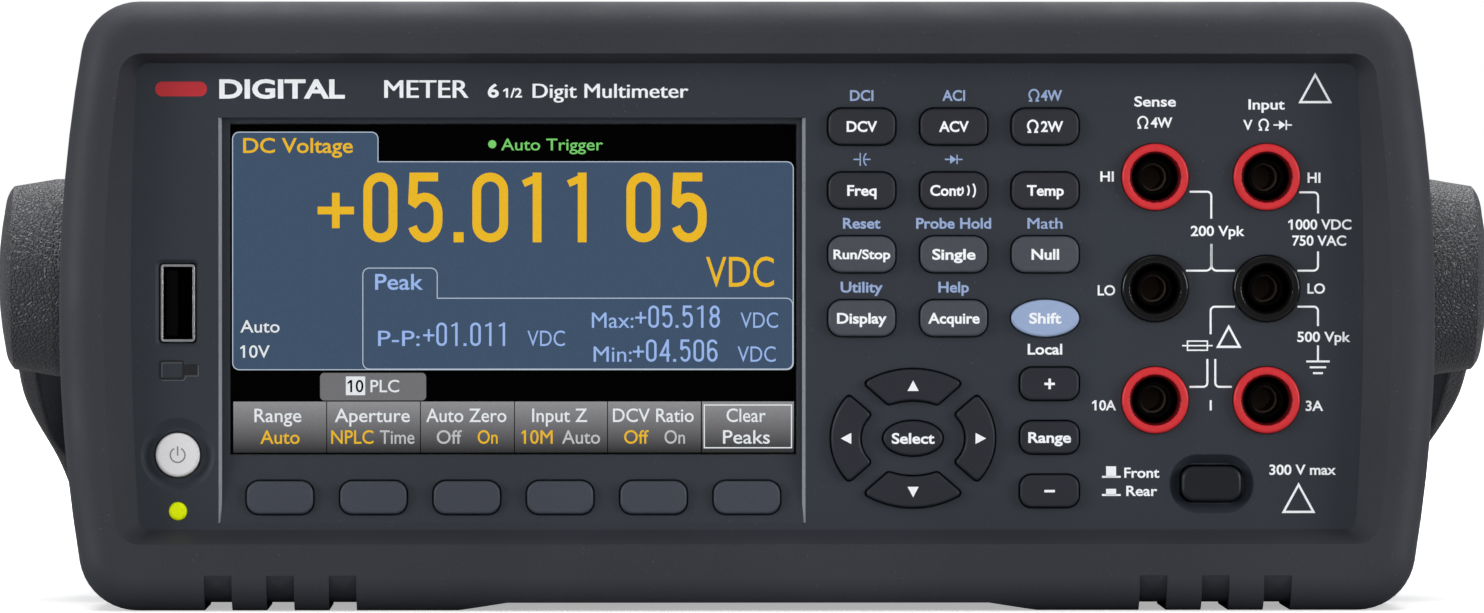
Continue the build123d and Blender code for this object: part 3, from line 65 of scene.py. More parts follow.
# ---------------------------------------------------------------- materials
class Nodes:
    """A short way to write a node tree."""

    def __init__(self, name):
        self.material = bpy.data.materials.new(name)
        self.material.use_nodes = True
        self.tree = self.material.node_tree
        self.tree.nodes.clear()
        self.out = self.add("ShaderNodeOutputMaterial")
        self.bsdf = self.add("ShaderNodeBsdfPrincipled")
        self.link(self.bsdf.outputs[0], self.out.inputs[0])
        self.place = self.add("ShaderNodeTexCoord").outputs["Object"]

    def add(self, kind, **values):
        node = self.tree.nodes.new(kind)
        for key, value in values.items():
            setattr(node, key, value)
        return node

    def link(self, a, b):
        self.tree.links.new(a, b)

    def noise(self, size_mm, detail=3.0, rough=0.55, stretch=None):
        """Noise whose features are about size_mm across."""
        node = self.add("ShaderNodeTexNoise")
        node.inputs["Scale"].default_value = 1 / (size_mm * MM)
        node.inputs["Detail"].default_value = detail
        node.inputs["Roughness"].default_value = rough
        where = self.place
        if stretch:
            mapping = self.add("ShaderNodeMapping")
            mapping.inputs["Scale"].default_value = stretch
            self.link(where, mapping.inputs["Vector"])
            where = mapping.outputs[0]
        self.link(where, node.inputs["Vector"])
        return node.outputs["Fac"]

    def cells(self, size_mm, feature="F1"):
        node = self.add("ShaderNodeTexVoronoi", feature=feature)
        node.inputs["Scale"].default_value = 1 / (size_mm * MM)
        self.link(self.place, node.inputs["Vector"])
        return node.outputs["Distance"]

    def ramp(self, source, low, high, a=0.0, b=1.0):
        """source from a..b mapped to low..high."""
        node = self.add("ShaderNodeMapRange")
        node.inputs["From Min"].default_value = a
        node.inputs["From Max"].default_value = b
        node.inputs["To Min"].default_value = low
        node.inputs["To Max"].default_value = high
        self.link(source, node.inputs["Value"])
        return node.outputs[0]

    def mix(self, factor, a, b):
        node = self.add("ShaderNodeMix", data_type="RGBA")
        for socket, value in ((node.inputs[0], factor), (node.inputs[6], a), (node.inputs[7], b)):
            if isinstance(value, (tuple, float, int)):
                socket.default_value = value
            else:
                self.link(value, socket)
        return node.outputs[2]

    def math(self, operation, a, b):
        node = self.add("ShaderNodeMath", operation=operation)
        for socket, value in zip(node.inputs, (a, b)):
            if isinstance(value, (float, int)):
                socket.default_value = value
            else:
                self.link(value, socket)
        return node.outputs[0]

    def bump(self, height, depth_mm, strength=1.0, normal=None):
        node = self.add("ShaderNodeBump")
        node.inputs["Strength"].default_value = strength
        node.inputs["Distance"].default_value = depth_mm * MM
        self.link(height, node.inputs["Height"])
        if normal:
            self.link(normal, node.inputs["Normal"])
        return node.outputs[0]


def shade(colour, factor):
    return (*[min(1.0, c * factor) for c in colour[:3]], 1.0)


DUST_TONE, WORN_TONE = 4.0, 2.1  # how many times lighter than the surface dust and rubbed edges are


def surface(
    name,
    colour,
    rough,
    grain_mm=0.4,
    grain_depth=0.02,
    metal=0.0,
    specular=0.5,
    vary=0.12,
    speckle=0.0,
    wear=0.0,
    edge_mm=0.0,
    brushed=None,
):
    """A moulded, painted or metal surface: fine grain, patchy gloss, colour drift, dust, worn edges."""
    n = Nodes(name)
    b = n.bsdf
    b.inputs["Metallic"].default_value = metal
    b.inputs["Specular IOR Level"].default_value = specular
    drift = n.ramp(n.noise(38.0, 2.0), 1 - vary, 1 + vary, 0.3, 0.7)
    fine = n.noise(grain_mm, 2.0)
    fine_tone = n.ramp(fine, 1 - vary * 0.8, 1 + vary * 0.8, 0.3, 0.7)
    tone = n.math("MULTIPLY", drift, fine_tone)
    scaled = n.add("ShaderNodeVectorMath", operation="SCALE")
    scaled.inputs[0].default_value = colour[:3]
    n.link(tone, scaled.inputs["Scale"])
    base = scaled.outputs[0]
    if speckle:
        dots = n.ramp(n.cells(1.3), 1.0, 0.0, 0.0, 0.16)
        patch = n.ramp(n.noise(6.0, 2.0), 0.0, 1.0, 0.52, 0.66)
        dust = n.math("MULTIPLY", n.math("MULTIPLY", dots, patch), speckle)
        base = n.mix(dust, base, shade(colour, DUST_TONE))
    normal = None
    if edge_mm:
        bevel = n.add("ShaderNodeBevel", samples=4)
        bevel.inputs["Radius"].default_value = edge_mm * MM
        normal = bevel.outputs[0]
        if wear:
            true = n.add("ShaderNodeNewGeometry")
            dot = n.add("ShaderNodeVectorMath", operation="DOT_PRODUCT")
            n.link(normal, dot.inputs[0])
            n.link(true.outputs["Normal"], dot.inputs[1])
            edge = n.ramp(dot.outputs["Value"], 1.0, 0.0, 0.80, 0.985)
            rubbed = n.math("MULTIPLY", edge, n.ramp(n.noise(3.0, 4.0), 0.0, wear, 0.35, 0.7))
            base = n.mix(rubbed, base, shade(colour, WORN_TONE))
    n.link(base, b.inputs["Base Color"])
    patchy = n.noise(14.0, 4.0)
    n.link(n.ramp(patchy, rough - 0.07, rough + 0.07, 0.3, 0.7), b.inputs["Roughness"])
    if brushed:
        height = n.noise(grain_mm, 3.0, stretch=brushed)
    else:
        height = fine
    n.link(n.bump(height, grain_depth, 0.8, normal), b.inputs["Normal"])
    return n.material


def leather(name, colour, rough, cell_mm, depth_mm, specular=0.4):
    """Coarse moulded grain, as on the handle's hubs."""
    n = Nodes(name)
    b = n.bsdf
    creases = n.ramp(n.cells(cell_mm, "DISTANCE_TO_EDGE"), 0.0, 1.0, 0.0, 0.22)
    soft = n.noise(cell_mm * 0.8, 3.0)
    height = n.math("ADD", creases, n.math("MULTIPLY", soft, 0.6))
    n.link(n.bump(height, depth_mm, 1.0), b.inputs["Normal"])
    # The creases between the grain's cells are painted darker: painted shade in the grooves.
    tone = n.mix(creases, shade(colour, 0.6), shade(colour, 1.08))
    base = n.mix(n.ramp(n.noise(25.0, 2.0), 0.0, 0.5, 0.35, 0.7), tone, shade(colour, 1.3))
    n.link(base, b.inputs["Base Color"])
    n.link(n.ramp(soft, rough - 0.08, rough + 0.1), b.inputs["Roughness"])
    b.inputs["Specular IOR Level"].default_value = specular
    return n.material


INK_ROUGH = 0.55


def printed(name, colour, glow=0.0):
    """Screen-printed ink: slightly uneven cover and gloss. glow makes the ink give off light of its own, a
    painted brightening.
    """
    n = Nodes(name)
    n.bsdf.inputs["Emission Color"].default_value = colour
    n.bsdf.inputs["Emission Strength"].default_value = glow
    patchy = n.noise(0.25, 2.0)
    thin = n.ramp(patchy, 0.0, 0.22, 0.3, 0.75)
    n.link(n.mix(thin, colour, shade(colour, 0.72)), n.bsdf.inputs["Base Color"])
    n.link(n.ramp(patchy, INK_ROUGH - 0.1, INK_ROUGH + 0.1), n.bsdf.inputs["Roughness"])
    n.link(n.bump(patchy, 0.004), n.bsdf.inputs["Normal"])
    return n.material


def lit(name, colour, low=None, span=None):
    """A lit part of the screen, in fine dots. low is the colour at the bottom of a span in z, in mm."""
    n = Nodes(name)
    b = n.bsdf
    dots = n.cells(0.24)
    tone = colour
    if low:
        split = n.add("ShaderNodeSeparateXYZ")
        n.link(n.place, split.inputs[0])
        climb = n.ramp(split.outputs["Z"], 0.0, 1.0, span[0] * MM, span[1] * MM)
        tone = n.mix(climb, low, colour)
    glow = n.mix(n.ramp(dots, 0.0, 0.14, 0.0, 0.8), tone, (0.0, 0.0, 0.0, 1.0))
    n.link(glow, b.inputs["Emission Color"])
    b.inputs["Emission Strength"].default_value = 1.0
    b.inputs["Base Color"].default_value = (0.001, 0.001, 0.001, 1.0)
    b.inputs["Specular IOR Level"].default_value = 0.0
    n.link(n.ramp(n.noise(9.0), 0.3, 0.42), b.inputs["Roughness"])
    return n.material


RUBBER = linear(50, 52, 58)
PANEL = linear(48, 53, 60)
DARK_KEY = linear(41, 42, 49)
GREY_KEY = linear(71, 75, 82)
SOFT_KEY = linear(64, 68, 78)
NAV_KEY = linear(36, 38, 46)
SHIFT = linear(154, 174, 209)
BLUE_INK = linear(150, 170, 210)

mat = {
    "rubber": surface("bumper_rubber", RUBBER, 0.62, 0.35, 0.03, specular=0.35, vary=0.1, speckle=0.5),
    "panel": surface(
        "front_panel_plastic", PANEL, 0.55, 0.28, 0.022,
        specular=0.3, vary=0.08, speckle=0.45, edge_mm=0.25, wear=0.25,
    ),
    "dark_key": surface(
        "dark_key_plastic", DARK_KEY, 0.5, 0.3, 0.012, specular=0.35, vary=0.09, edge_mm=0.2, wear=0.35,
    ),
    "grey_key": surface(
        "grey_key_plastic", GREY_KEY, 0.5, 0.3, 0.012, specular=0.35, vary=0.08, edge_mm=0.2, wear=0.3,
    ),
    "soft_key": surface(
        "soft_key_plastic", SOFT_KEY, 0.5, 0.3, 0.012, specular=0.35, vary=0.08, edge_mm=0.2, wear=0.3,
    ),
    "nav_key": surface(
        "arrow_key_plastic", NAV_KEY, 0.5, 0.3, 0.012, specular=0.35, vary=0.09, edge_mm=0.2, wear=0.35,
    ),
    "shift_key": surface(
        "shift_key_plastic", SHIFT, 0.42, 0.3, 0.01, specular=0.4, vary=0.05, edge_mm=0.2, wear=0.1,
    ),
    "button": surface(
        "power_button_plastic", linear(228, 226, 228), 0.4, 0.3, 0.008, specular=0.45, vary=0.03,
    ),
    "black": surface("black_plastic", linear(22, 22, 24), 0.38, 0.3, 0.012, vary=0.15),
    "black_ring": surface(
        "black_ring_plastic", linear(5, 5, 6), 0.2, 0.5, 0.003, specular=0.4, vary=0.15,
    ),
    "red": surface("red_ring_plastic", linear(214, 46, 52), 0.34, 0.5, 0.005, specular=0.3, vary=0.05),
    "brass": surface(
        "contact_brass", (0.62, 0.46, 0.22, 1), 0.3, 0.12, 0.006, metal=1.0, vary=0.12, brushed=(1, 12, 1),
    ),
    "window": surface(
        "window_plastic", (0.0025, 0.0025, 0.003, 1), 0.22, 3.0, 0.002, specular=0.4, vary=0.2,
    ),
    "steel": surface(
        "zinc_steel", (0.56, 0.57, 0.58, 1), 0.36, 0.22, 0.01, metal=1.0, vary=0.12, brushed=(14, 1, 1),
    ),
    "screw": surface(
        "screw_steel", (0.6, 0.6, 0.62, 1), 0.28, 0.2, 0.008, metal=1.0, vary=0.1, edge_mm=0.1,
    ),
    "cover": surface(
        "case_paint", linear(92, 98, 107), 0.5, 0.55, 0.05,
        specular=0.4, vary=0.06, speckle=0.1, edge_mm=0.6, wear=0.2,
    ),
    "rear": surface(
        "rear_paint", linear(168, 169, 170), 0.48, 0.5, 0.03, specular=0.4, vary=0.05, edge_mm=0.3, wear=0.2,
    ),
    "socket": surface(
        "socket_metal", (0.66, 0.66, 0.67, 1), 0.25, 0.2, 0.006,
        metal=1.0, vary=0.08, brushed=(1, 10, 1), edge_mm=0.15,
    ),
    "nickel": surface(
        "connector_nickel", (0.72, 0.70, 0.66, 1), 0.2, 0.3, 0.004, metal=1.0, vary=0.06, edge_mm=0.12,
    ),
    "board": surface("board_laminate", linear(24, 92, 58), 0.42, 0.7, 0.02, vary=0.12),
    "film": surface("dome_film", linear(206, 203, 190), 0.45, 1.5, 0.01, vary=0.06),
    "blue_plastic": surface(
        "interface_plastic", linear(34, 62, 128), 0.4, 0.4, 0.01, vary=0.08, edge_mm=0.2,
    ),
    "iron": surface(
        "transformer_iron", linear(84, 80, 74), 0.5, 0.35, 0.04, vary=0.2, brushed=(1, 9, 1),
    ),
    "ribbon": surface(
        "ribbon_plastic", linear(150, 152, 156), 0.45, 0.6, 0.05, vary=0.06, brushed=(6, 1, 1),
    ),
    "handle": leather("handle_plastic", linear(60, 61, 65), 0.42, 0.75, 0.12, specular=0.5),
    "switch": surface(
        "switch_button_plastic", linear(21, 24, 30), 0.42, 0.3, 0.01,
        specular=0.35, vary=0.08, edge_mm=0.3, wear=0.6,
    ),
    # Brass darkened to a dark brown for the contacts deep in the jacks: painted shade.
    "shade": surface("brass_painted_shade", (0.15, 0.1, 0.075, 1), 0.5, 0.3, 0.01, specular=0.2, vary=0.3),
    # Near black with little gloss, darker than the black plastic: black plastic with painted shade, for the
    # insides of the terminals and sockets.
    "black_and_painted_shade": surface(
        "black_plastic_and_painted_shade", linear(5, 5, 6), 0.6, 0.3, 0.01, specular=0.05, vary=0.2,
    ),
    # Darker red for the mouths of the red rings: painted shade.
    "red_shade": surface("red_ring_mouth", linear(84, 6, 12), 0.5, 0.5, 0.005, specular=0.1, vary=0.05),
    # A lighter, glossier finish for the upright edge bevels of the display's recess: a painted highlight.
    "rim": surface("painted_highlight_edge", linear(138, 142, 150), 0.3, 0.3, 0.01, specular=0.5, vary=0.12),
    "pivot": surface("pivot_plastic", linear(44, 45, 50), 0.5, 0.35, 0.02, vary=0.1),
    # The white and blue inks glow a little: painted light that brightens them.
    "white_ink": printed("white_ink", linear(243, 245, 248), glow=0.1),
    "blue_ink": printed("blue_ink", BLUE_INK, glow=0.1),
    "grey_ink": printed("grey_ink", linear(132, 131, 128)),
    "dark_ink": printed("dark_ink", linear(18, 19, 22)),
    # Lighter ink for the copy under the plug outline: a painted highlight.
    "painted_highlight_ink": printed("painted_highlight_ink", linear(84, 89, 98)),
    "red_ink": printed("red_ink", linear(196, 38, 48)),
}

light = Nodes("power_light")
light_cells = light.cells(0.8)
glow_tone = light.mix(light.ramp(light_cells, 0.0, 0.6), linear(188, 204, 0), linear(210, 222, 10))
light.link(glow_tone, light.bsdf.inputs["Base Color"])
light.link(glow_tone, light.bsdf.inputs["Emission Color"])
light.bsdf.inputs["Emission Strength"].default_value = 0.38
light.bsdf.inputs["Roughness"].default_value = 0.4
light.bsdf.inputs["Specular IOR Level"].default_value = 0.1
mat["light"] = light.material

DRESS = {
    "rubber": ["front_bumper", "rear_bumper"],
    "panel": ["front_panel"],
    "dark_key": [
        "dc_volts_key", "ac_volts_key", "ohms_key", "frequency_key", "continuity_key", "temperature_key",
    ],
    "grey_key": ["run_stop_key", "single_key", "null_key", "display_key", "acquire_key"],
    "soft_key": [f"soft_key_{i}" for i in range(1, 7)],
    "nav_key": [
        "up_key", "down_key", "left_key", "right_key", "select_key", "plus_key", "range_key", "minus_key",
    ],
    "shift_key": ["shift_key"],
    "button": ["power_button"],
    # The terminal blocks are painted near black so their tubes deep in the jacks show as shade: painted shade.
    "black_and_painted_shade": ["front_terminal_block", "rear_terminal_block"],
    "black": ["source_switch_body", "fan_frame", "fan_rotor"],
    "black_ring": ["terminal_rings_black", "mains_inlet", "current_fuse_cap"],
    "red": ["terminal_rings_red"],
    "brass": ["contact_sleeves"],
    "window": ["display_window"],
    "steel": ["chassis_tray", "display_module"],
    "screw": ["screws"],
    "cover": ["top_cover"],
    "rear": ["rear_panel"],
    "socket": ["usb_a_socket", "usb_b_socket", "lan_socket"],
    "nickel": ["bnc_connectors"],
    "board": ["front_board", "main_board"],
    "film": ["key_dome_sheet"],
    "blue_plastic": ["interface_connector"],
    "iron": ["transformer"],
    "ribbon": ["ribbon_cable"],
    "handle": ["handle"],
    "pivot": ["handle_pivots"],
    "switch": ["source_switch_button"],
    "light": ["power_light_pipe"],
}
SMOOTH_UNDER = math.radians(33)
for look, names in DRESS.items():
    for name in names:
        data = nodes[name].data
        data.materials.clear()
        data.materials.append(mat[look])
        data.shade_smooth()
        data.set_sharp_from_angle(angle=SMOOTH_UNDER)


def box_mm(node):
    low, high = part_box(node)
    return low / MM, high / MM


def middle(node):
    low, high = box_mm(node)
    return (low.x + high.x) / 2, (low.z + high.z) / 2


def repaint(node, look, chosen):
    """The faces that chosen(centre in mm, normal) picks take another finish."""
    data = nodes[node].data
    data.materials.append(mat[look])
    for face in data.polygons:
        if chosen(face.center / MM, face.normal):
            face.material_index = 1


# The sockets and terminals are dark inside: faces within their mouths take darker finishes, painted shade in
# place of the shade that falls there.
ring_low, ring_high = box_mm("terminal_rings_red")
RING_R, RING_MOUTH_R, CONTACT_MOUTH_R = 5.7, 4.4, 2.5
left_x, right_x = ring_low.x + RING_R, ring_high.x - RING_R
high_z, low_z = ring_high.z - RING_R, ring_low.z + RING_R
mid_z = (high_z + low_z) / 2


def near_terminal(radius):
    """True for faces within a radius of a test terminal's axis."""
    axes = [(x, z) for x in (left_x, right_x) for z in (high_z, mid_z, low_z)]

    def test(point, normal):
        return min(math.hypot(point.x - x, point.z - z) for x, z in axes) < radius

    return test


def inside(node, wall):
    """True for faces of a socket that lie within its mouth."""
    low, high = box_mm(node)
    x, z = middle(node)
    half_x, half_z = (high.x - low.x) / 2 - wall, (high.z - low.z) / 2 - wall

    def test(point, normal):
        return abs(point.x - x) < half_x + 0.05 and abs(point.z - z) < half_z + 0.05

    return test


window_low, window_high = box_mm("display_window")
RECESS_EDGES = (window_low.x - 1.3, window_high.x + 0.9)


def on_recess_edge(point, normal):
    """True for the bevels along the upright edges of the display's recess."""
    near = min(abs(point.x - x) for x in RECESS_EDGES) < 1.0
    return near and abs(normal.x) > 0.6 and normal.y < -0.6


repaint("contact_sleeves", "shade", near_terminal(CONTACT_MOUTH_R))
repaint("terminal_rings_red", "red_shade", near_terminal(RING_MOUTH_R))
repaint("terminal_rings_black", "black_and_painted_shade", near_terminal(RING_MOUTH_R))
# The upright edge bevels of the display's recess take a painted highlight.
repaint("front_panel", "rim", on_recess_edge)
# Inside the socket mouths the faces are painted near black: partly their dark plastic, partly painted shade on
# the metal walls.
repaint("usb_a_socket", "black_and_painted_shade", inside("usb_a_socket", 0.35))
repaint("lan_socket", "black_and_painted_shade", inside("lan_socket", 1.6))
repaint("usb_b_socket", "black_and_painted_shade", inside("usb_b_socket", 1.4))

# ---------------------------------------------------------------- printed shapes
GLYPHS = {}
INK = 0.03  # mm
SINK = 0.005  # mm that the print's back lies below the surface, so that no gap shows
# Corners of the stroke added to a figure one, in stem widths from the stem's upper left.
FLAG = ((0.1, 0.0), (-1.25, -1.1), (-1.25, -2.0), (0.1, -1.25))


def add_flags(shape, string):
    """The font's figure one is a bare bar, so it gets its slanted stroke."""
    loose = set(shape.verts)
    letters = []
    while loose:
        reached = [loose.pop()]
        letter = set(reached)
        while reached:
            for edge in reached.pop().link_edges:
                for vertex in edge.verts:
                    if vertex in loose:
                        loose.remove(vertex)
                        letter.add(vertex)
                        reached.append(vertex)
        letters.append(letter)
    letters.sort(key=lambda letter: min(v.co.x for v in letter))
    for char, letter in zip(string.replace(" ", ""), letters):
        if char != "1":
            continue
        edge_x = min(v.co.x for v in letter)
        thick = max(v.co.x for v in letter) - edge_x
        top = max(v.co.y for v in letter)
        corners = [(edge_x + x * thick, top + y * thick) for x, y in FLAG]
        ends = [[shape.verts.new((*corner, h)) for corner in corners] for h in (0.5, -0.5)]
        shape.faces.new(ends[0])
        shape.faces.new(reversed(ends[1]))
        for i in range(4):
            j = (i + 1) % 4
            shape.faces.new((ends[0][i], ends[1][i], ends[1][j], ends[0][j]))


def glyph_mesh(string, bold):
    """Flat-fronted letters of unit size as (vertices, faces), in a plane, one unit thick."""
    key = (string, bold)
    if key not in GLYPHS:
        curve = bpy.data.curves.new("glyphs", "FONT")
        curve.body = string
        curve.size = 1.0
        curve.extrude = 0.5
        curve.offset = bold
        curve.resolution_u = 4
        holder = bpy.data.objects.new("glyphs", curve)
        bpy.context.scene.collection.objects.link(holder)
        bpy.context.view_layer.update()
        graph = bpy.context.evaluated_depsgraph_get()
        mesh = bpy.data.meshes.new_from_object(holder.evaluated_get(graph))
        shape = bmesh.new()
        shape.from_mesh(mesh)
        bmesh.ops.remove_doubles(shape, verts=shape.verts, dist=1e-5)
        add_flags(shape, string)
        shape.verts.index_update()
        points = [v.co.copy() for v in shape.verts]
        faces = [[v.index for v in f.verts] for f in shape.faces]
        shape.free()
        bpy.data.objects.remove(holder)
        bpy.data.curves.remove(curve)
        bpy.data.meshes.remove(mesh)
        GLYPHS[key] = (points, faces)
    return GLYPHS[key]


def cap_height(bold):
    points, _ = glyph_mesh("H", bold)
    return max(p.y for p in points) - min(p.y for p in points), min(p.y for p in points)


class Marks:
    """Shapes laid on one body, gathered into one piece. Places are (x, z) in mm."""

    def __init__(self, name, body, y, facing=-1):
        self.name, self.body, self.y, self.facing = name, body, y, facing
        self.shape = bmesh.new()
        self.materials = []

    def slot(self, look):
        if look not in self.materials:
            self.materials.append(look)
        return self.materials.index(look)

    def place(self, x, z, lift):
        """lift is the height above the surface, in mm."""
        return Vector((x * MM, self.y + self.facing * lift * MM, z * MM))

    def add(self, points, faces, look, thick, base):
        """points are (x, z, h), with h 1 at the front and 0 at the back."""
        index = self.slot(look)
        made = [self.shape.verts.new(self.place(x, z, base + thick * h)) for x, z, h in points]
        for face in faces:
            try:
                new = self.shape.faces.new([made[i] for i in face])
            except ValueError:
                continue
            new.material_index = index

    def plate(self, outline, look, thick=INK, base=0.0):
        count = len(outline)
        points = [(x, z, 1.0) for x, z in outline] + [(x, z, 0.0) for x, z in outline]
        faces = [list(range(count)), list(range(2 * count - 1, count - 1, -1))]
        faces += [[i, i + count, (i + 1) % count + count, (i + 1) % count] for i in range(count)]
        self.add(points, faces, look, thick, base)

    def stroke(self, path, width, look, closed=False, thick=INK, base=0.0):
        """A line of even width along a path."""
        count = len(path)
        sides = []
        for i, here in enumerate(path):
            before = path[i - 1] if i or closed else None
            after = path[(i + 1) % count] if i < count - 1 or closed else None
            ways = []
            for a, b in ((before, here), (here, after)):
                if a and b:
                    ways.append(Vector((b[0] - a[0], b[1] - a[1])).normalized())
            way = sum(ways, Vector((0, 0))).normalized()
            miter = max(0.5, abs(way.dot(ways[0])))
            across = Vector((-way.y, way.x)) * (width / 2 / miter)
            sides.append((across.x, across.y))
        points = []
        for h in (1.0, 0.0):
            for sign in (1, -1):
                points += [(p[0] + sign * s[0], p[1] + sign * s[1], h) for p, s in zip(path, sides)]
        faces = []
        for i in range(count if closed else count - 1):
            j = (i + 1) % count
            a, b, c, d = 0, count, 2 * count, 3 * count
            faces += [
                [a + i, b + i, b + j, a + j],
                [c + i, c + j, d + j, d + i],
                [a + i, a + j, c + j, c + i],
                [b + i, d + i, d + j, b + j],
            ]
        if not closed:
            for i in (0, count - 1):
                faces.append([i, 2 * count + i, 3 * count + i, count + i])
        self.add(points, faces, look, thick, base)

    def text(self, string, x, z, height, look, width, bold, thick=INK, base=0.0):
        """Letters centred on (x, z), with a cap height and an overall width."""
        if "M" in string and bold > 0:
            # The font's M breaks when it is thickened, so these words are struck twice.
            shift = bold * height
            inner = width - 2 * shift
            self.text(string, x - shift, z, height, look, inner, 0.0, thick, base)
            self.text(string, x + shift, z, height, look, inner, 0.0, thick * 1.2, base)
            return
        points, faces = glyph_mesh(string, bold)
        cap, foot = cap_height(bold)
        low = min(p.x for p in points)
        span = max(p.x for p in points) - low
        tall = height / cap
        wide = width / span
        flip = 1 if self.facing < 0 else -1
        placed = []
        for p in points:
            rise = (p.y - foot - cap / 2) * tall
            run = (p.x - low - span / 2) * wide
            placed.append((x + flip * run, z + rise, p.z + 0.5))
        self.add(placed, faces, look, thick, base)

    def build(self):
        bmesh.ops.recalc_face_normals(self.shape, faces=self.shape.faces)
        mesh = bpy.data.meshes.new(self.name)
        self.shape.to_mesh(mesh)
        self.shape.free()
        for look in self.materials:
            mesh.materials.append(mat[look])
        piece = bpy.data.objects.new(self.name, mesh)
        bpy.context.scene.collection.objects.link(piece)
        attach(piece, self.body)


def arc(cx, cz, rx, rz, start, end, steps=10):
    turn = [math.radians(start + (end - start) * i / steps) for i in range(steps + 1)]
    return [(cx + rx * math.cos(t), cz + rz * math.sin(t)) for t in turn]


def round_rect(x0, z0, x1, z1, r, steps=6):
    """Counter-clockwise from the lower right corner."""
    return (
        arc(x1 - r, z0 + r, r, r, -90, 0, steps)
        + arc(x1 - r, z1 - r, r, r, 0, 90, steps)
        + arc(x0 + r, z1 - r, r, r, 90, 180, steps)
        + arc(x0 + r, z0 + r, r, r, 180, 270, steps)
    )


# Key legends: one piece on each key's own body.
LETTER = 1.85
KEY_WORDS = {
    "dc_volts_key": ("DCV", 5.2),
    "ac_volts_key": ("ACV", 5.1),
    "frequency_key": ("Freq", 5.0),
    "temperature_key": ("Temp", 6.3),
    "run_stop_key": ("Run/Stop", 9.7),
    "single_key": ("Single", 7.4),
    "null_key": ("Null", 4.7),
    "display_key": ("Display", 8.5),
    "acquire_key": ("Acquire", 8.8),
    "shift_key": ("Shift", 5.5),
    "range_key": ("Range", 7.3),
    "select_key": ("Select", 7.3),
}


def key_marks(node):
    low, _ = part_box(node)
    return Marks(f"{node}_legend", node, low.y + SINK * MM)


for node, (word, width) in KEY_WORDS.items():
    marks = key_marks(node)
    x, z = middle(node)
    height = 1.65 if len(word) > 7 else LETTER
    marks.text(word, x, z, height, "white_ink", width, bold=0.026)
    marks.build()


def ohm(marks, x, z, size, look, width=0.34):
    """An omega, drawn as a horseshoe with two feet."""
    bow = arc(x, z + 0.07 * size, 0.42 * size, 0.46 * size, -52, 232, 16)
    right, left = ([(x + side * r * size, z - 0.47 * size) for r in (0.46, 0.22)] for side in (1, -1))
    marks.stroke(right + bow + left[::-1], width, look)


def diode(marks, x, z, size, look, line=0.24):
    half = size / 2
    marks.stroke([(x - half * 1.5, z), (x - half * 0.55, z)], line, look)
    marks.stroke([(x + half * 0.6, z), (x + half * 1.5, z)], line, look)
    back = x - half * 0.6
    marks.plate([(back, z - half * 0.75), (x + half * 0.45, z), (back, z + half * 0.75)], look)
    marks.stroke([(x + half * 0.58, z - half * 0.8), (x + half * 0.58, z + half * 0.8)], line, look)


marks = key_marks("ohms_key")
x, z = middle("ohms_key")
ohm(marks, x - 2.15, z, 1.95, "white_ink")
marks.text("2W", x + 1.15, z, LETTER, "white_ink", 3.8, bold=0.026)
marks.build()

marks = key_marks("continuity_key")
x, z = middle("continuity_key")
marks.text("Cont", x - 1.35, z, LETTER, "white_ink", 5.4, bold=0.026)
for i, reach in enumerate((0.65, 0.95, 1.3)):
    marks.stroke(arc(x + 1.2 + 0.85 * i, z, reach * 0.55, reach, -62, 62, 8), 0.3, "white_ink")
marks.build()

marks = key_marks("plus_key")
x, z = middle("plus_key")
marks.stroke([(x - 0.9, z), (x + 0.9, z)], 0.42, "white_ink")
marks.stroke([(x, z - 0.9), (x, z + 0.9)], 0.42, "white_ink", thick=INK * 1.2)
marks.build()
marks = key_marks("minus_key")
x, z = middle("minus_key")
marks.stroke([(x - 0.9, z), (x + 0.9, z)], 0.42, "white_ink")
marks.build()

nav_x, nav_z = middle("select_key")
for node, way_x, way_z, reach in (
    ("up_key", 0, 1, 8.95),
    ("down_key", 0, -1, 9.1),
    ("left_key", -1, 0, 11.4),
    ("right_key", 1, 0, 11.5),
):
    marks = key_marks(node)
    x, z = nav_x + way_x * reach, nav_z + way_z * reach
    side_x, side_z = -way_z * 0.95, way_x * 0.95
    marks.plate(
        [
            (x + way_x * 0.95, z + way_z * 0.95),
            (x + side_x - way_x * 0.85, z + side_z - way_z * 0.85),
            (x - side_x - way_x * 0.85, z - side_z - way_z * 0.85),
        ],
        "white_ink",
    )
    marks.build()

power_low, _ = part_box("power_button")
x, z = middle("power_button")
marks = Marks("power_button_legend", "power_button", power_low.y + SINK * MM)
marks.stroke(arc(x, z, 1.25, 1.25, 118, 422, 20), 0.24, "grey_ink")
marks.stroke([(x, z - 0.1), (x, z + 1.5)], 0.24, "grey_ink", thick=INK * 1.2)
marks.build()

# Panel legends: one piece on the case.
panel_low, panel_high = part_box("front_panel")
panel = Marks("panel_legend", CASE, panel_low.y + SINK * MM)

BLUE_OVER = {
    "dc_volts_key": ("DCI", 4.0),
    "ac_volts_key": ("ACI", 3.9),
    "run_stop_key": ("Reset", 6.4),
    "single_key": ("Probe Hold", 12.8),
    "null_key": ("Math", 6.0),
    "display_key": ("Utility", 7.2),
    "acquire_key": ("Help", 5.2),
}
OVER = 5.3
for node, (word, width) in BLUE_OVER.items():
    x, z = middle(node)
    panel.text(word, x, z + OVER, LETTER, "blue_ink", width, bold=0.022)
x, z = middle("ohms_key")
ohm(panel, x - 1.9, z + OVER, 1.9, "blue_ink", 0.3)
panel.text("4W", x + 1.1, z + OVER, LETTER, "blue_ink", 3.6, bold=0.022)
x, z = middle("frequency_key")
panel.stroke([(x - 1.4, z + OVER), (x - 0.25, z + OVER)], 0.22, "blue_ink")
panel.stroke([(x + 0.35, z + OVER), (x + 1.5, z + OVER)], 0.22, "blue_ink")
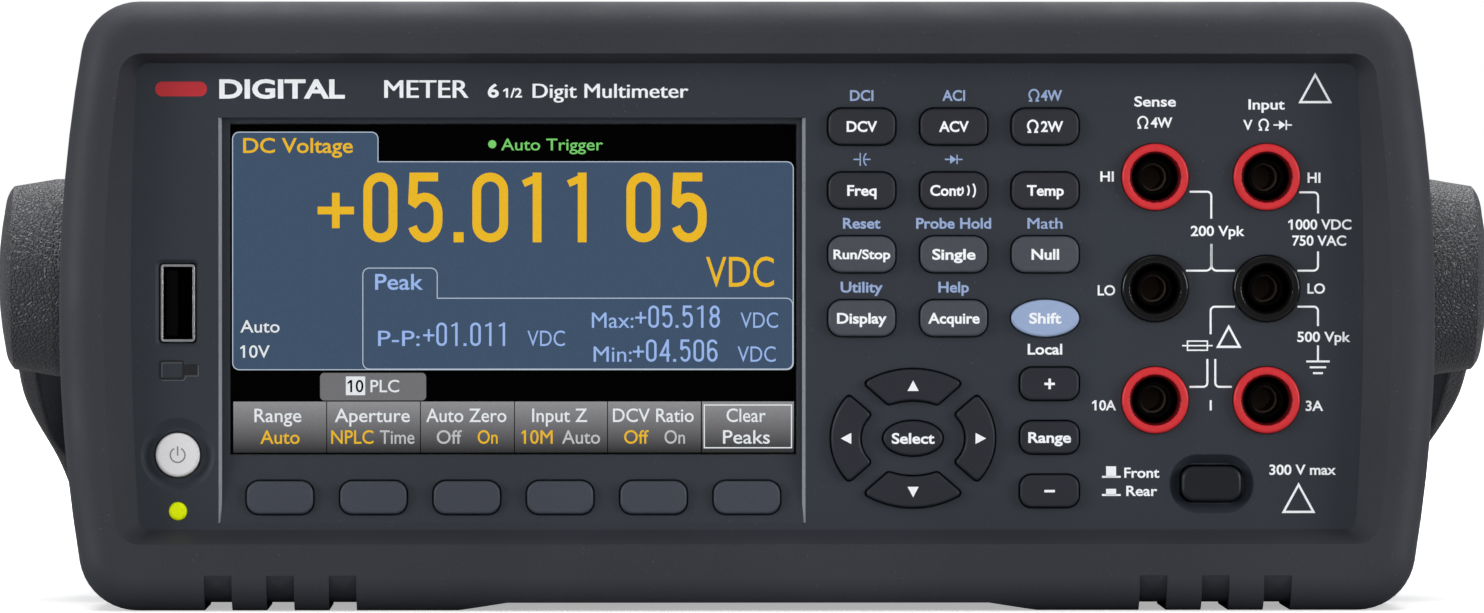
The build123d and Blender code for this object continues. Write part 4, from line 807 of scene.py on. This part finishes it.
panel.stroke([(x - 0.25, z + OVER - 1.1), (x - 0.25, z + OVER + 1.1)], 0.22, "blue_ink")
panel.stroke(arc(x + 1.15, z + OVER, 0.8, 1.15, 115, 245, 8), 0.22, "blue_ink")
x, z = middle("continuity_key")
diode(panel, x, z + OVER, 2.0, "blue_ink", 0.22)
x, z = middle("shift_key")
panel.text("Local", x, z - 5.3, LETTER, "white_ink", 5.9, bold=0.022)

# The heading row: plain words in place of the maker's. The series name at its end is left out.
TOP = 88.9
panel.plate(round_rect(-101.0, TOP - 1.25, -92.2, TOP + 1.25, 1.2), "red_ink")
panel.text("DIGITAL", -79.4, TOP, 3.3, "white_ink", 21.4, bold=0.03)
panel.text("METER", -54.8, TOP, 3.0, "white_ink", 14.4, bold=0.026)
panel.text("6", -43.4, TOP - 0.3, 2.35, "white_ink", 1.9, bold=0.024)
panel.text("1/2", -40.1, TOP - 0.65, 1.6, "white_ink", 3.2, bold=0.024)
panel.text("Digit Multimeter", -23.4, TOP - 0.3, 2.4, "white_ink", 26.6, bold=0.024)

# Test terminals.
panel.text("Sense", left_x, high_z + 12.9, 1.75, "white_ink", 7.1, bold=0.02)
ohm(panel, left_x - 2.1, high_z + 9.3, 1.9, "white_ink", 0.3)
panel.text("4W", left_x + 1.1, high_z + 9.3, 1.75, "white_ink", 3.7, bold=0.022)
panel.text("Input", right_x, high_z + 12.4, 1.75, "white_ink", 6.2, bold=0.02)
panel.text("V", right_x - 3.2, high_z + 8.9, 1.75, "white_ink", 1.6, bold=0.022)
ohm(panel, right_x - 0.5, high_z + 8.9, 1.8, "white_ink", 0.3)
diode(panel, right_x + 2.75, high_z + 8.9, 2.1, "white_ink", 0.24)
for word, x, z, width in (
    ("HI", left_x - 8.2, high_z + 0.1, 2.3),
    ("HI", right_x + 8.1, high_z - 0.1, 2.2),
    ("LO", left_x - 8.3, mid_z - 0.3, 3.0),
    ("LO", right_x + 8.5, mid_z, 3.0),
    ("10A", left_x - 8.7, low_z - 0.9, 4.1),
    ("3A", right_x + 8.2, low_z - 1.0, 3.0),
    ("I", (left_x + right_x) / 2, low_z - 0.9, 0.35),
    ("200 Vpk", left_x + 10.7, high_z - 9.2, 9.2),
    ("1000 VDC", right_x + 9.1, high_z - 8.1, 10.8),
    ("750 VAC", right_x + 9.0, high_z - 10.85, 9.2),
    ("500 Vpk", right_x + 9.8, mid_z - 8.25, 9.1),
    ("300 V max", right_x + 6.2, 23.9, 11.4),
    ("Front", 67.3, 23.4, 6.0),
    ("Rear", 67.3, 20.3, 5.3),
):
    panel.text(word, x, z, 1.75, "white_ink", width, bold=0.02)

LINE = 0.34
turn_x = left_x + 9.6


def bend(x, z, r, start, end):
    return arc(x, z, r, r, start, end, 5)


def run(*points):
    panel.stroke(list(points), LINE, "white_ink")


rail = right_x + 8.8
run((left_x + 5.9, high_z - 2.5), *bend(turn_x - 0.7, high_z - 3.2, 0.7, 90, 0), (turn_x, high_z - 7.1))
run((right_x + 5.6, high_z - 2.6), *bend(rail - 0.7, high_z - 3.3, 0.7, 90, 0), (rail, high_z - 6.2))
run((turn_x, high_z - 11.4), *bend(turn_x - 0.9, mid_z + 3.95, 0.9, 0, -90), (left_x + 5.3, mid_z + 3.05))
run(
    (turn_x + 0.05, high_z - 11.4),
    *bend(turn_x + 0.95, mid_z + 3.95, 0.9, 180, 270),
    (right_x - 5.4, mid_z + 3.05),
)
run((rail, high_z - 12.7), *bend(rail - 0.8, mid_z + 3.85, 0.8, 0, -90), (right_x + 5.3, mid_z + 3.05))
run((right_x - 5.4, mid_z - 3.1), *bend(turn_x + 0.6, mid_z - 3.8, 0.7, 90, 180), (turn_x - 0.1, mid_z - 7.8))
run((right_x + 5.3, mid_z - 3.1), *bend(rail - 0.7, mid_z - 3.8, 0.7, 90, 0), (rail, mid_z - 6.4))
run((turn_x - 0.65, low_z + 7.0), *bend(turn_x - 1.35, low_z + 2.95, 0.7, 0, -90), (left_x + 5.9, low_z + 2.25))
run(
    (turn_x + 0.7, low_z + 7.0),
    *bend(turn_x + 1.4, low_z + 2.95, 0.7, 180, 270),
    (right_x - 5.9, low_z + 2.25),
)
fuse_x, fuse_z = turn_x - 2.35, mid_z - 9.75
panel.stroke([(fuse_x - 2.6, fuse_z), (fuse_x + 2.6, fuse_z)], 0.24, "white_ink", thick=INK * 1.2)
panel.stroke(
    [(fuse_x + x * 1.7, fuse_z + z * 0.78) for x, z in ((-1, -1), (1, -1), (1, 1), (-1, 1))],
    0.24, "white_ink", closed=True,
)
for x, z, size in (
    (right_x + 8.3, high_z + 12.8, 5.4),
    (turn_x + 3.0, fuse_z - 0.2, 4.0),
    (right_x + 5.5, 16.7, 5.4),
):
    half, tall = size / 2 - 0.15, size * 0.86
    panel.stroke([(x - half, z), (x + half, z), (x, z + tall)], LINE * 1.15, "white_ink", closed=True)
earth = mid_z - 9.7
run((rail, earth), (rail, earth - 2.6))
for i, wide in enumerate((4.0, 2.8, 1.7)):
    run((rail - wide / 2, earth - 2.75 - i), (rail + wide / 2, earth - 2.75 - i))
for z, tall in ((22.7, 1.8), (19.6, 1.05)):
    run((60.5, z), (63.7, z))
    panel.plate([(61.2, z), (62.9, z), (62.9, z + tall), (61.2, z + tall)], "white_ink")

# A plain plug outline below the USB socket, drawn over a lighter copy set down and right: a painted highlight
# along its edge.
usb_x, usb_z = middle("usb_a_socket")
plug = usb_z - 11.4
for shift, look, lift in ((0.16, "painted_highlight_ink", 0.0), (0.0, "dark_ink", INK)):
    x, z = usb_x + shift, plug - shift
    panel.stroke(round_rect(x - 3.0, z - 1.5, x + 1.0, z + 1.5, 0.4, 3), 0.42, look, closed=True, base=lift)
    blade = [(x + a, z + b) for a, b in ((1.2, -0.95), (3.4, -0.95), (3.4, 0.95), (1.2, 0.95))]
    panel.plate(blade, look, base=lift)
panel.build()

# Rear legends.
rear_low, rear_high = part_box("rear_panel")
back = Marks("rear_legend", CASE, rear_high.y - SINK * MM, facing=1)
bnc_low, bnc_high = box_mm("bnc_connectors")
bnc_z = (bnc_low.z + bnc_high.z) / 2
for word, x, z, width in (
    ("Sense", left_x, high_z + 8.2, 7.0),
    ("Input", right_x, high_z + 8.2, 6.2),
    ("HI", left_x - 8.0, high_z, 2.2),
    ("LO", left_x - 8.0, mid_z, 2.8),
    ("I", left_x - 8.0, low_z, 0.35),
    ("Fuse", right_x, low_z - 9.4, 5.4),
    ("Trigger", bnc_high.x - 7.6, bnc_z + 9.6, 8.6),
    ("Done", bnc_low.x + 7.6, bnc_z + 9.6, 6.2),
    ("LAN", middle("lan_socket")[0], middle("lan_socket")[1] - 9.4, 4.6),
    ("USB", middle("usb_b_socket")[0], middle("usb_b_socket")[1] - 9.4, 4.6),
    ("Bus", middle("interface_connector")[0], middle("interface_connector")[1] + 10.2, 4.2),
    ("Line", middle("mains_inlet")[0], middle("mains_inlet")[1] + 28.2, 4.8),
):
    back.text(word, x, z, 1.9, "dark_ink", width, bold=0.02)
back.build()

# ---------------------------------------------------------------- the picture on the screen
screen = Marks("screen_picture", CASE, window_low.y * MM)
LEFT, TOP_Z = window_low.x, window_high.z

mat["slate"] = lit("screen_slate", linear(66, 86, 110))
mat["yellow"] = lit("screen_yellow", linear(242, 190, 42))
mat["pale_blue"] = lit("screen_pale_blue", linear(160, 190, 245))
mat["screen_white"] = lit("screen_white", linear(236, 240, 244))
mat["screen_line"] = lit("screen_line", linear(190, 202, 218))
mat["green"] = lit("screen_green", linear(124, 212, 112))
mat["screen_black"] = lit("screen_black", linear(0, 0, 0))
mat["tab_grey"] = lit("screen_tab", linear(118, 118, 120))
mat["tab_pale"] = lit("screen_pale_grey", linear(196, 198, 200))
label_high, label_low = TOP_Z - 47.3, TOP_Z - 56.2
mat["label_grey"] = lit("screen_label", linear(150, 150, 153), linear(48, 48, 50), (label_low, label_high))


def at(u, v):
    """u to the right and v down from the window's upper left corner, in mm."""
    return LEFT + u, TOP_Z - v


def panel_path(u0, v0, u1, v1, tab_u, tab_v, r=1.1):
    """A rounded panel with a raised tab at its upper left; counter-clockwise from the lower left."""
    def corner(u, v, a, b, radius=r):
        x, z = at(u, v)
        return arc(x, z, radius, radius, a, b, 5)

    return (
        corner(u0 + r, v1 - r, 180, 270)
        + corner(u1 - r, v1 - r, 270, 360)
        + corner(u1 - r, v0 + r, 0, 90)
        + [at(tab_u, v0)]
        + corner(tab_u - r, tab_v + r, 0, 90)
        + corner(u0 + r, tab_v + r, 90, 180)
    )


def words(string, u0, u1, v0, v1, look, bold=0.0, lift=0.06):
    """Letters that fill a box on the screen, cap height from v0 to v1."""
    x, z = at((u0 + u1) / 2, (v0 + v1) / 2)
    screen.text(string, x, z, v1 - v0, look, u1 - u0, bold=bold, thick=0.02, base=lift)


def fill(u0, v0, u1, v1, look, lift, thick=0.02, r=0.0):
    x0, z0 = at(u0, v1)
    x1, z1 = at(u1, v0)
    outline = round_rect(x0, z0, x1, z1, r, 4) if r else [(x0, z0), (x1, z0), (x1, z1), (x0, z1)]
    screen.plate(outline, look, thick, lift)


WIDE = window_high.x - window_low.x
fill(0.05, 0.05, WIDE - 0.05, TOP_Z - window_low.z - 0.05, "screen_black", 0.0)
main_outline = panel_path(0.4, 6.45, 96.1, 41.95, 25.2, 1.4)
screen.plate(main_outline, "slate", 0.02, 0.02)
screen.stroke(main_outline, 0.16, "screen_line", closed=True, thick=0.015, base=0.04)
peak_outline = panel_path(22.6, 29.75, 96.0, 41.85, 35.3, 24.6)
screen.stroke(peak_outline, 0.16, "screen_line", closed=True, thick=0.017, base=0.04)

words("DC Voltage", 2.2, 20.9, 2.4, 4.95, "yellow", 0.012)
dot_x, dot_z = at(44.7, 3.45)
screen.plate(arc(dot_x, dot_z, 0.7, 0.7, 0, 337.5, 15), "green", 0.02, 0.06)
words("Auto Trigger", 46.2, 63.6, 2.5, 4.5, "green", 0.006)

# Numbers, in narrow round-cornered figures.
def figure(char, u0, u1, top, low, width, look):
    """One figure drawn with an even stroke between u0 and u1, from top down to low."""
    half = width / 2
    x0, z0 = at(u0 + half, low - half)
    x1, z1 = at(u1 - half, top + half)
    r, tall, mid_x = (x1 - x0) / 2, z1 - z0, (x0 + x1) / 2

    def line(path, wide=1.0, thick=0.02, closed=False):
        screen.stroke(path, width * wide, look, closed=closed, thick=thick, base=0.06)

    if char == "0":
        line(arc(mid_x, z1 - r, r, r, 0, 180, 12) + arc(mid_x, z0 + r, r, r, 180, 360, 12), closed=True)
    elif char == "1":
        line([(x1, z1 + half), (x1, z0 - half)])
        line([(x0 - half, z1 - 0.11 * tall), (x1, z1 - 0.01 * tall)], 0.8, 0.018)
    elif char == "4":
        stem, bar = x1 - 0.3 * r, z0 + 0.28 * tall
        line([(stem, z1 + half), (stem, z0 - half)])
        line([(stem, z1), (x0, bar), (x1 + half, bar)], 1.0, 0.018)
    elif char == "5":
        path = [(x1, z1), (x0 + 0.16 * r, z1), (x0 + 0.07 * r, z0 + 0.6 * tall)]
        path += arc(mid_x, z0 + 0.41 * tall, r, 0.26 * tall, 140, 0, 9)
        line(path + arc(mid_x, z0 + 0.28 * tall, r, 0.28 * tall, 0, -160, 10))
    elif char == "6":
        bowl = 0.29 * tall
        line(arc(mid_x, z1 - r, r, r, 12, 180, 9) + arc(mid_x, z0 + bowl, r, bowl, 180, 515, 20))
    elif char == "8":
        line(arc(mid_x, z1 - 0.24 * tall, 0.92 * r, 0.24 * tall, 0, 337.5, 15), closed=True)
        line(arc(mid_x, z0 + 0.28 * tall, r, 0.28 * tall, 0, 337.5, 15), 1.0, 0.018, closed=True)
    elif char == "+":
        level, reach = z0 + 0.45 * tall, 0.29 * tall
        line([(mid_x, level - reach), (mid_x, level + reach)], 0.87)
        line([(x0 - half, level), (x1 + half, level)], 0.87, 0.018)
    elif char == ".":
        fill(u0, low - 1.15 * width, u1, low, look, 0.06)


for char, u0, u1 in (
    ("+", 14.9, 21.1), ("0", 22.7, 28.5), ("5", 30.2, 36.2), (".", 38.1, 39.8), ("0", 41.3, 47.4),
    ("1", 50.0, 53.1), ("1", 57.7, 60.8), ("0", 67.6, 73.4), ("5", 75.2, 81.3),
):
    figure(char, u0, u1, 8.3, 20.2, 1.5, "yellow")

ADVANCE = {"+": 2.25, ".": 1.15}
FIGURE_STEP, FIGURE_W = 2.32, 1.8


def number(string, u, top, low):
    """A small number, starting at u."""
    for char in string:
        wide = {"+": 1.9, ".": 0.5, "1": 1.3}.get(char, FIGURE_W)
        figure(char, u + (0.25 if char == "1" else 0.0), u + wide, top, low, 0.4, "pale_blue")
        u += ADVANCE.get(char, FIGURE_STEP)


words("VDC", 81.2, 92.8, 22.7, 27.8, "yellow", 0.0)
words("Peak", 24.7, 32.9, 25.6, 28.3, "pale_blue", 0.01)
words("P-P:", 25.2, 32.3, 35.3, 37.9, "pale_blue")
number("+01.011", 32.9, 33.9, 37.9)
words("VDC", 50.7, 57.1, 35.3, 37.9, "pale_blue", -0.004)
words("Max:", 61.7, 68.8, 32.2, 34.8, "pale_blue")
number("+05.518", 69.1, 31.0, 34.8)
words("VDC", 87.1, 93.5, 32.2, 34.8, "pale_blue", -0.004)
words("Min:", 62.0, 68.5, 38.0, 40.6, "pale_blue")
number("+04.506", 68.7, 36.8, 40.6)
words("VDC", 86.6, 93.1, 38.0, 40.6, "pale_blue", -0.004)
words("Auto", 1.7, 8.4, 33.5, 35.6, "screen_white", 0.006)
words("10V", 1.7, 6.7, 37.8, 39.9, "screen_white", 0.006)

fill(15.3, 42.5, 33.4, 47.2, "tab_grey", 0.02, 0.02, 0.7)
fill(19.7, 43.1, 23.0, 46.3, "screen_white", 0.04)
words("10", 20.0, 22.7, 43.7, 45.8, "screen_black", 0.012, 0.065)
words("PLC", 23.9, 28.8, 43.7, 45.8, "screen_white", 0.006)

# Each soft key's label: its two sides, then (row, word, left, right, look).
SOFT_LABELS = (
    (0.5, 16.35, (0, "Range", 4.1, 12.1, "screen_white"), (1, "Auto", 5.1, 11.8, "yellow")),
    (
        16.5, 32.35, (0, "Aperture", 17.8, 30.6, "screen_white"),
        (1, "NPLC", 17.2, 24.4, "yellow"), (1, "Time", 25.5, 31.4, "tab_pale"),
    ),
    (
        32.5, 48.4, (0, "Auto Zero", 33.4, 47.1, "screen_white"),
        (1, "Off", 35.2, 39.5, "tab_pale"), (1, "On", 42.2, 45.6, "yellow"),
    ),
    (
        48.55, 64.3, (0, "Input Z", 51.5, 60.9, "screen_white"),
        (1, "10M", 49.7, 55.0, "yellow"), (1, "Auto", 56.6, 63.1, "tab_pale"),
    ),
    (
        64.45, 80.3, (0, "DCV Ratio", 65.3, 79.1, "screen_white"),
        (1, "Off", 67.2, 71.4, "yellow"), (1, "On", 74.1, 77.6, "tab_pale"),
    ),
    (80.5, 96.2, (0, "Clear", 84.7, 91.4, "screen_white"), (1, "Peaks", 84.1, 92.1, "screen_white")),
)
for u0, u1, *labels in SOFT_LABELS:
    fill(u0, 47.4, u1, 56.1, "label_grey", 0.02)
    for row, word, a, b, look in labels:
        top = 48.6 + 3.7 * row
        words(word, a, b, top, top + 2.3, look, 0.006)
frame_low, frame_high = at(80.9, 55.3), at(95.8, 48.0)
screen.stroke(
    [frame_low, (frame_high[0], frame_low[1]), frame_high, (frame_low[0], frame_high[1])],
    0.2, "screen_white", closed=True, thick=0.02, base=0.04,
)
screen.build()

# ---------------------------------------------------------------- stage, light and camera
floor_mesh = bpy.data.meshes.new("floor")
FLOOR = 30.0  # m from the middle to each side
floor_mesh.from_pydata(
    [(-FLOOR, -FLOOR, 0), (FLOOR, -FLOOR, 0), (FLOOR, FLOOR, 0), (-FLOOR, FLOOR, 0)], [], [(0, 1, 2, 3)]
)
floor = bpy.data.objects.new("floor", floor_mesh)
bpy.context.scene.collection.objects.link(floor)
paper = Nodes("floor_paper")
patches = paper.ramp(paper.noise(300.0), 0.0, 1.0, 0.3, 0.7)
paper.link(paper.mix(patches, (0.93, 0.93, 0.93, 1), (0.96, 0.96, 0.96, 1)), paper.bsdf.inputs["Base Color"])
paper.bsdf.inputs["Roughness"].default_value = 0.9
paper.bsdf.inputs["Specular IOR Level"].default_value = 0.1
paper.bsdf.inputs["Emission Color"].default_value = (1.0, 1.0, 1.0, 1.0)
reach = paper.add("ShaderNodeVectorMath", operation="LENGTH")
paper.link(paper.place, reach.inputs[0])
# The paper is evenly bright away from the instrument, and keeps a soft shadow close to it.
NEAR, FAR = 0.16, 0.5  # m from the origin
NEAR_GLOW, FAR_GLOW = 0.42, 1.0
glow = paper.ramp(reach.outputs["Value"], NEAR_GLOW, FAR_GLOW, NEAR, FAR)
paper.link(glow, paper.bsdf.inputs["Emission Strength"])
# The camera sees the paper, and everything else is lit by a grey card in its place.
grey_card = paper.add("ShaderNodeBsdfDiffuse")
grey_card.inputs["Color"].default_value = (0.3, 0.3, 0.31, 1.0)
to_eye = paper.add("ShaderNodeLightPath")
either = paper.add("ShaderNodeMixShader")
paper.link(to_eye.outputs["Is Camera Ray"], either.inputs[0])
paper.link(grey_card.outputs[0], either.inputs[1])
paper.link(paper.bsdf.outputs[0], either.inputs[2])
paper.link(either.outputs[0], paper.out.inputs[0])
floor.data.materials.append(paper.material)

world = bpy.data.worlds.new("studio")
bpy.context.scene.world = world
world.use_nodes = True
tree = world.node_tree
tree.nodes.clear()
out = tree.nodes.new("ShaderNodeOutputWorld")
seen = tree.nodes.new("ShaderNodeBackground")
seen.inputs["Color"].default_value = (1, 1, 1, 1)
seen.inputs["Strength"].default_value = 1.0
ambient = tree.nodes.new("ShaderNodeBackground")
ambient.inputs["Color"].default_value = (0.97, 0.98, 1.0, 1)
ambient.inputs["Strength"].default_value = 0.3
choose = tree.nodes.new("ShaderNodeMixShader")
path = tree.nodes.new("ShaderNodeLightPath")
tree.links.new(path.outputs["Is Camera Ray"], choose.inputs[0])
tree.links.new(ambient.outputs[0], choose.inputs[1])
tree.links.new(seen.outputs[0], choose.inputs[2])
tree.links.new(choose.outputs[0], out.inputs[0])

centre = (cad_box[0] + cad_box[1]) / 2


def softbox(name, place, size, watts):
    """A lamp at a place from the instrument's middle, turned towards it."""
    data = bpy.data.lights.new(name, "AREA")
    data.shape = "RECTANGLE"
    data.size, data.size_y = size
    data.energy = watts
    lamp = bpy.data.objects.new(name, data)
    bpy.context.scene.collection.objects.link(lamp)
    lamp.location = centre + Vector(place)
    lamp.rotation_mode = "QUATERNION"
    lamp.rotation_quaternion = (-Vector(place)).to_track_quat("-Z", "Y")
    return lamp


softbox("key_light", (-0.35, -0.75, 1.55), (1.0, 0.7), 2.0)
softbox("top_light", (0.0, 0.05, 1.3), (1.4, 0.5), 17.0)
soft_front = softbox("front_light", (0.0, -1.9, 0.0), (1.8, 0.9), 12.0)
soft_front.visible_glossy = False
softbox("left_light", (-1.5, -0.87, 0.22), (0.6, 1.0), 17.0)
softbox("right_light", (1.5, -0.87, 0.22), (0.6, 1.0), 17.0)
softbox("back_light", (0.2, 1.4, 1.2), (1.4, 0.6), 9.0)

# The camera stands about 1.7 m in front, a little left of the middle and a little above it.
camera_data = bpy.data.cameras.new("camera")
camera = bpy.data.objects.new("camera", camera_data)
bpy.context.scene.collection.objects.link(camera)
bpy.context.scene.camera = camera
EYE_X, STAND_OFF, EYE_Z = -0.025, 1.70, 0.0717
AIM_X, AIM_Z = -0.00098, 0.0518
SEEN_WIDTH = 0.2532  # at the front panel's face
SENSOR = 36.0
camera.location = (EYE_X, cad_box[0].y - STAND_OFF, EYE_Z)
look = Vector((AIM_X, panel_low.y, AIM_Z)) - camera.location
camera.rotation_mode = "QUATERNION"
camera.rotation_quaternion = look.to_track_quat("-Z", "Y")
camera_data.sensor_width = SENSOR
camera_data.lens = SENSOR / 2 / (SEEN_WIDTH / 2 / abs(look.y))
camera_data.clip_start, camera_data.clip_end = 0.05, 100.0
bpy.context.scene.view_settings.view_transform = "Standard"
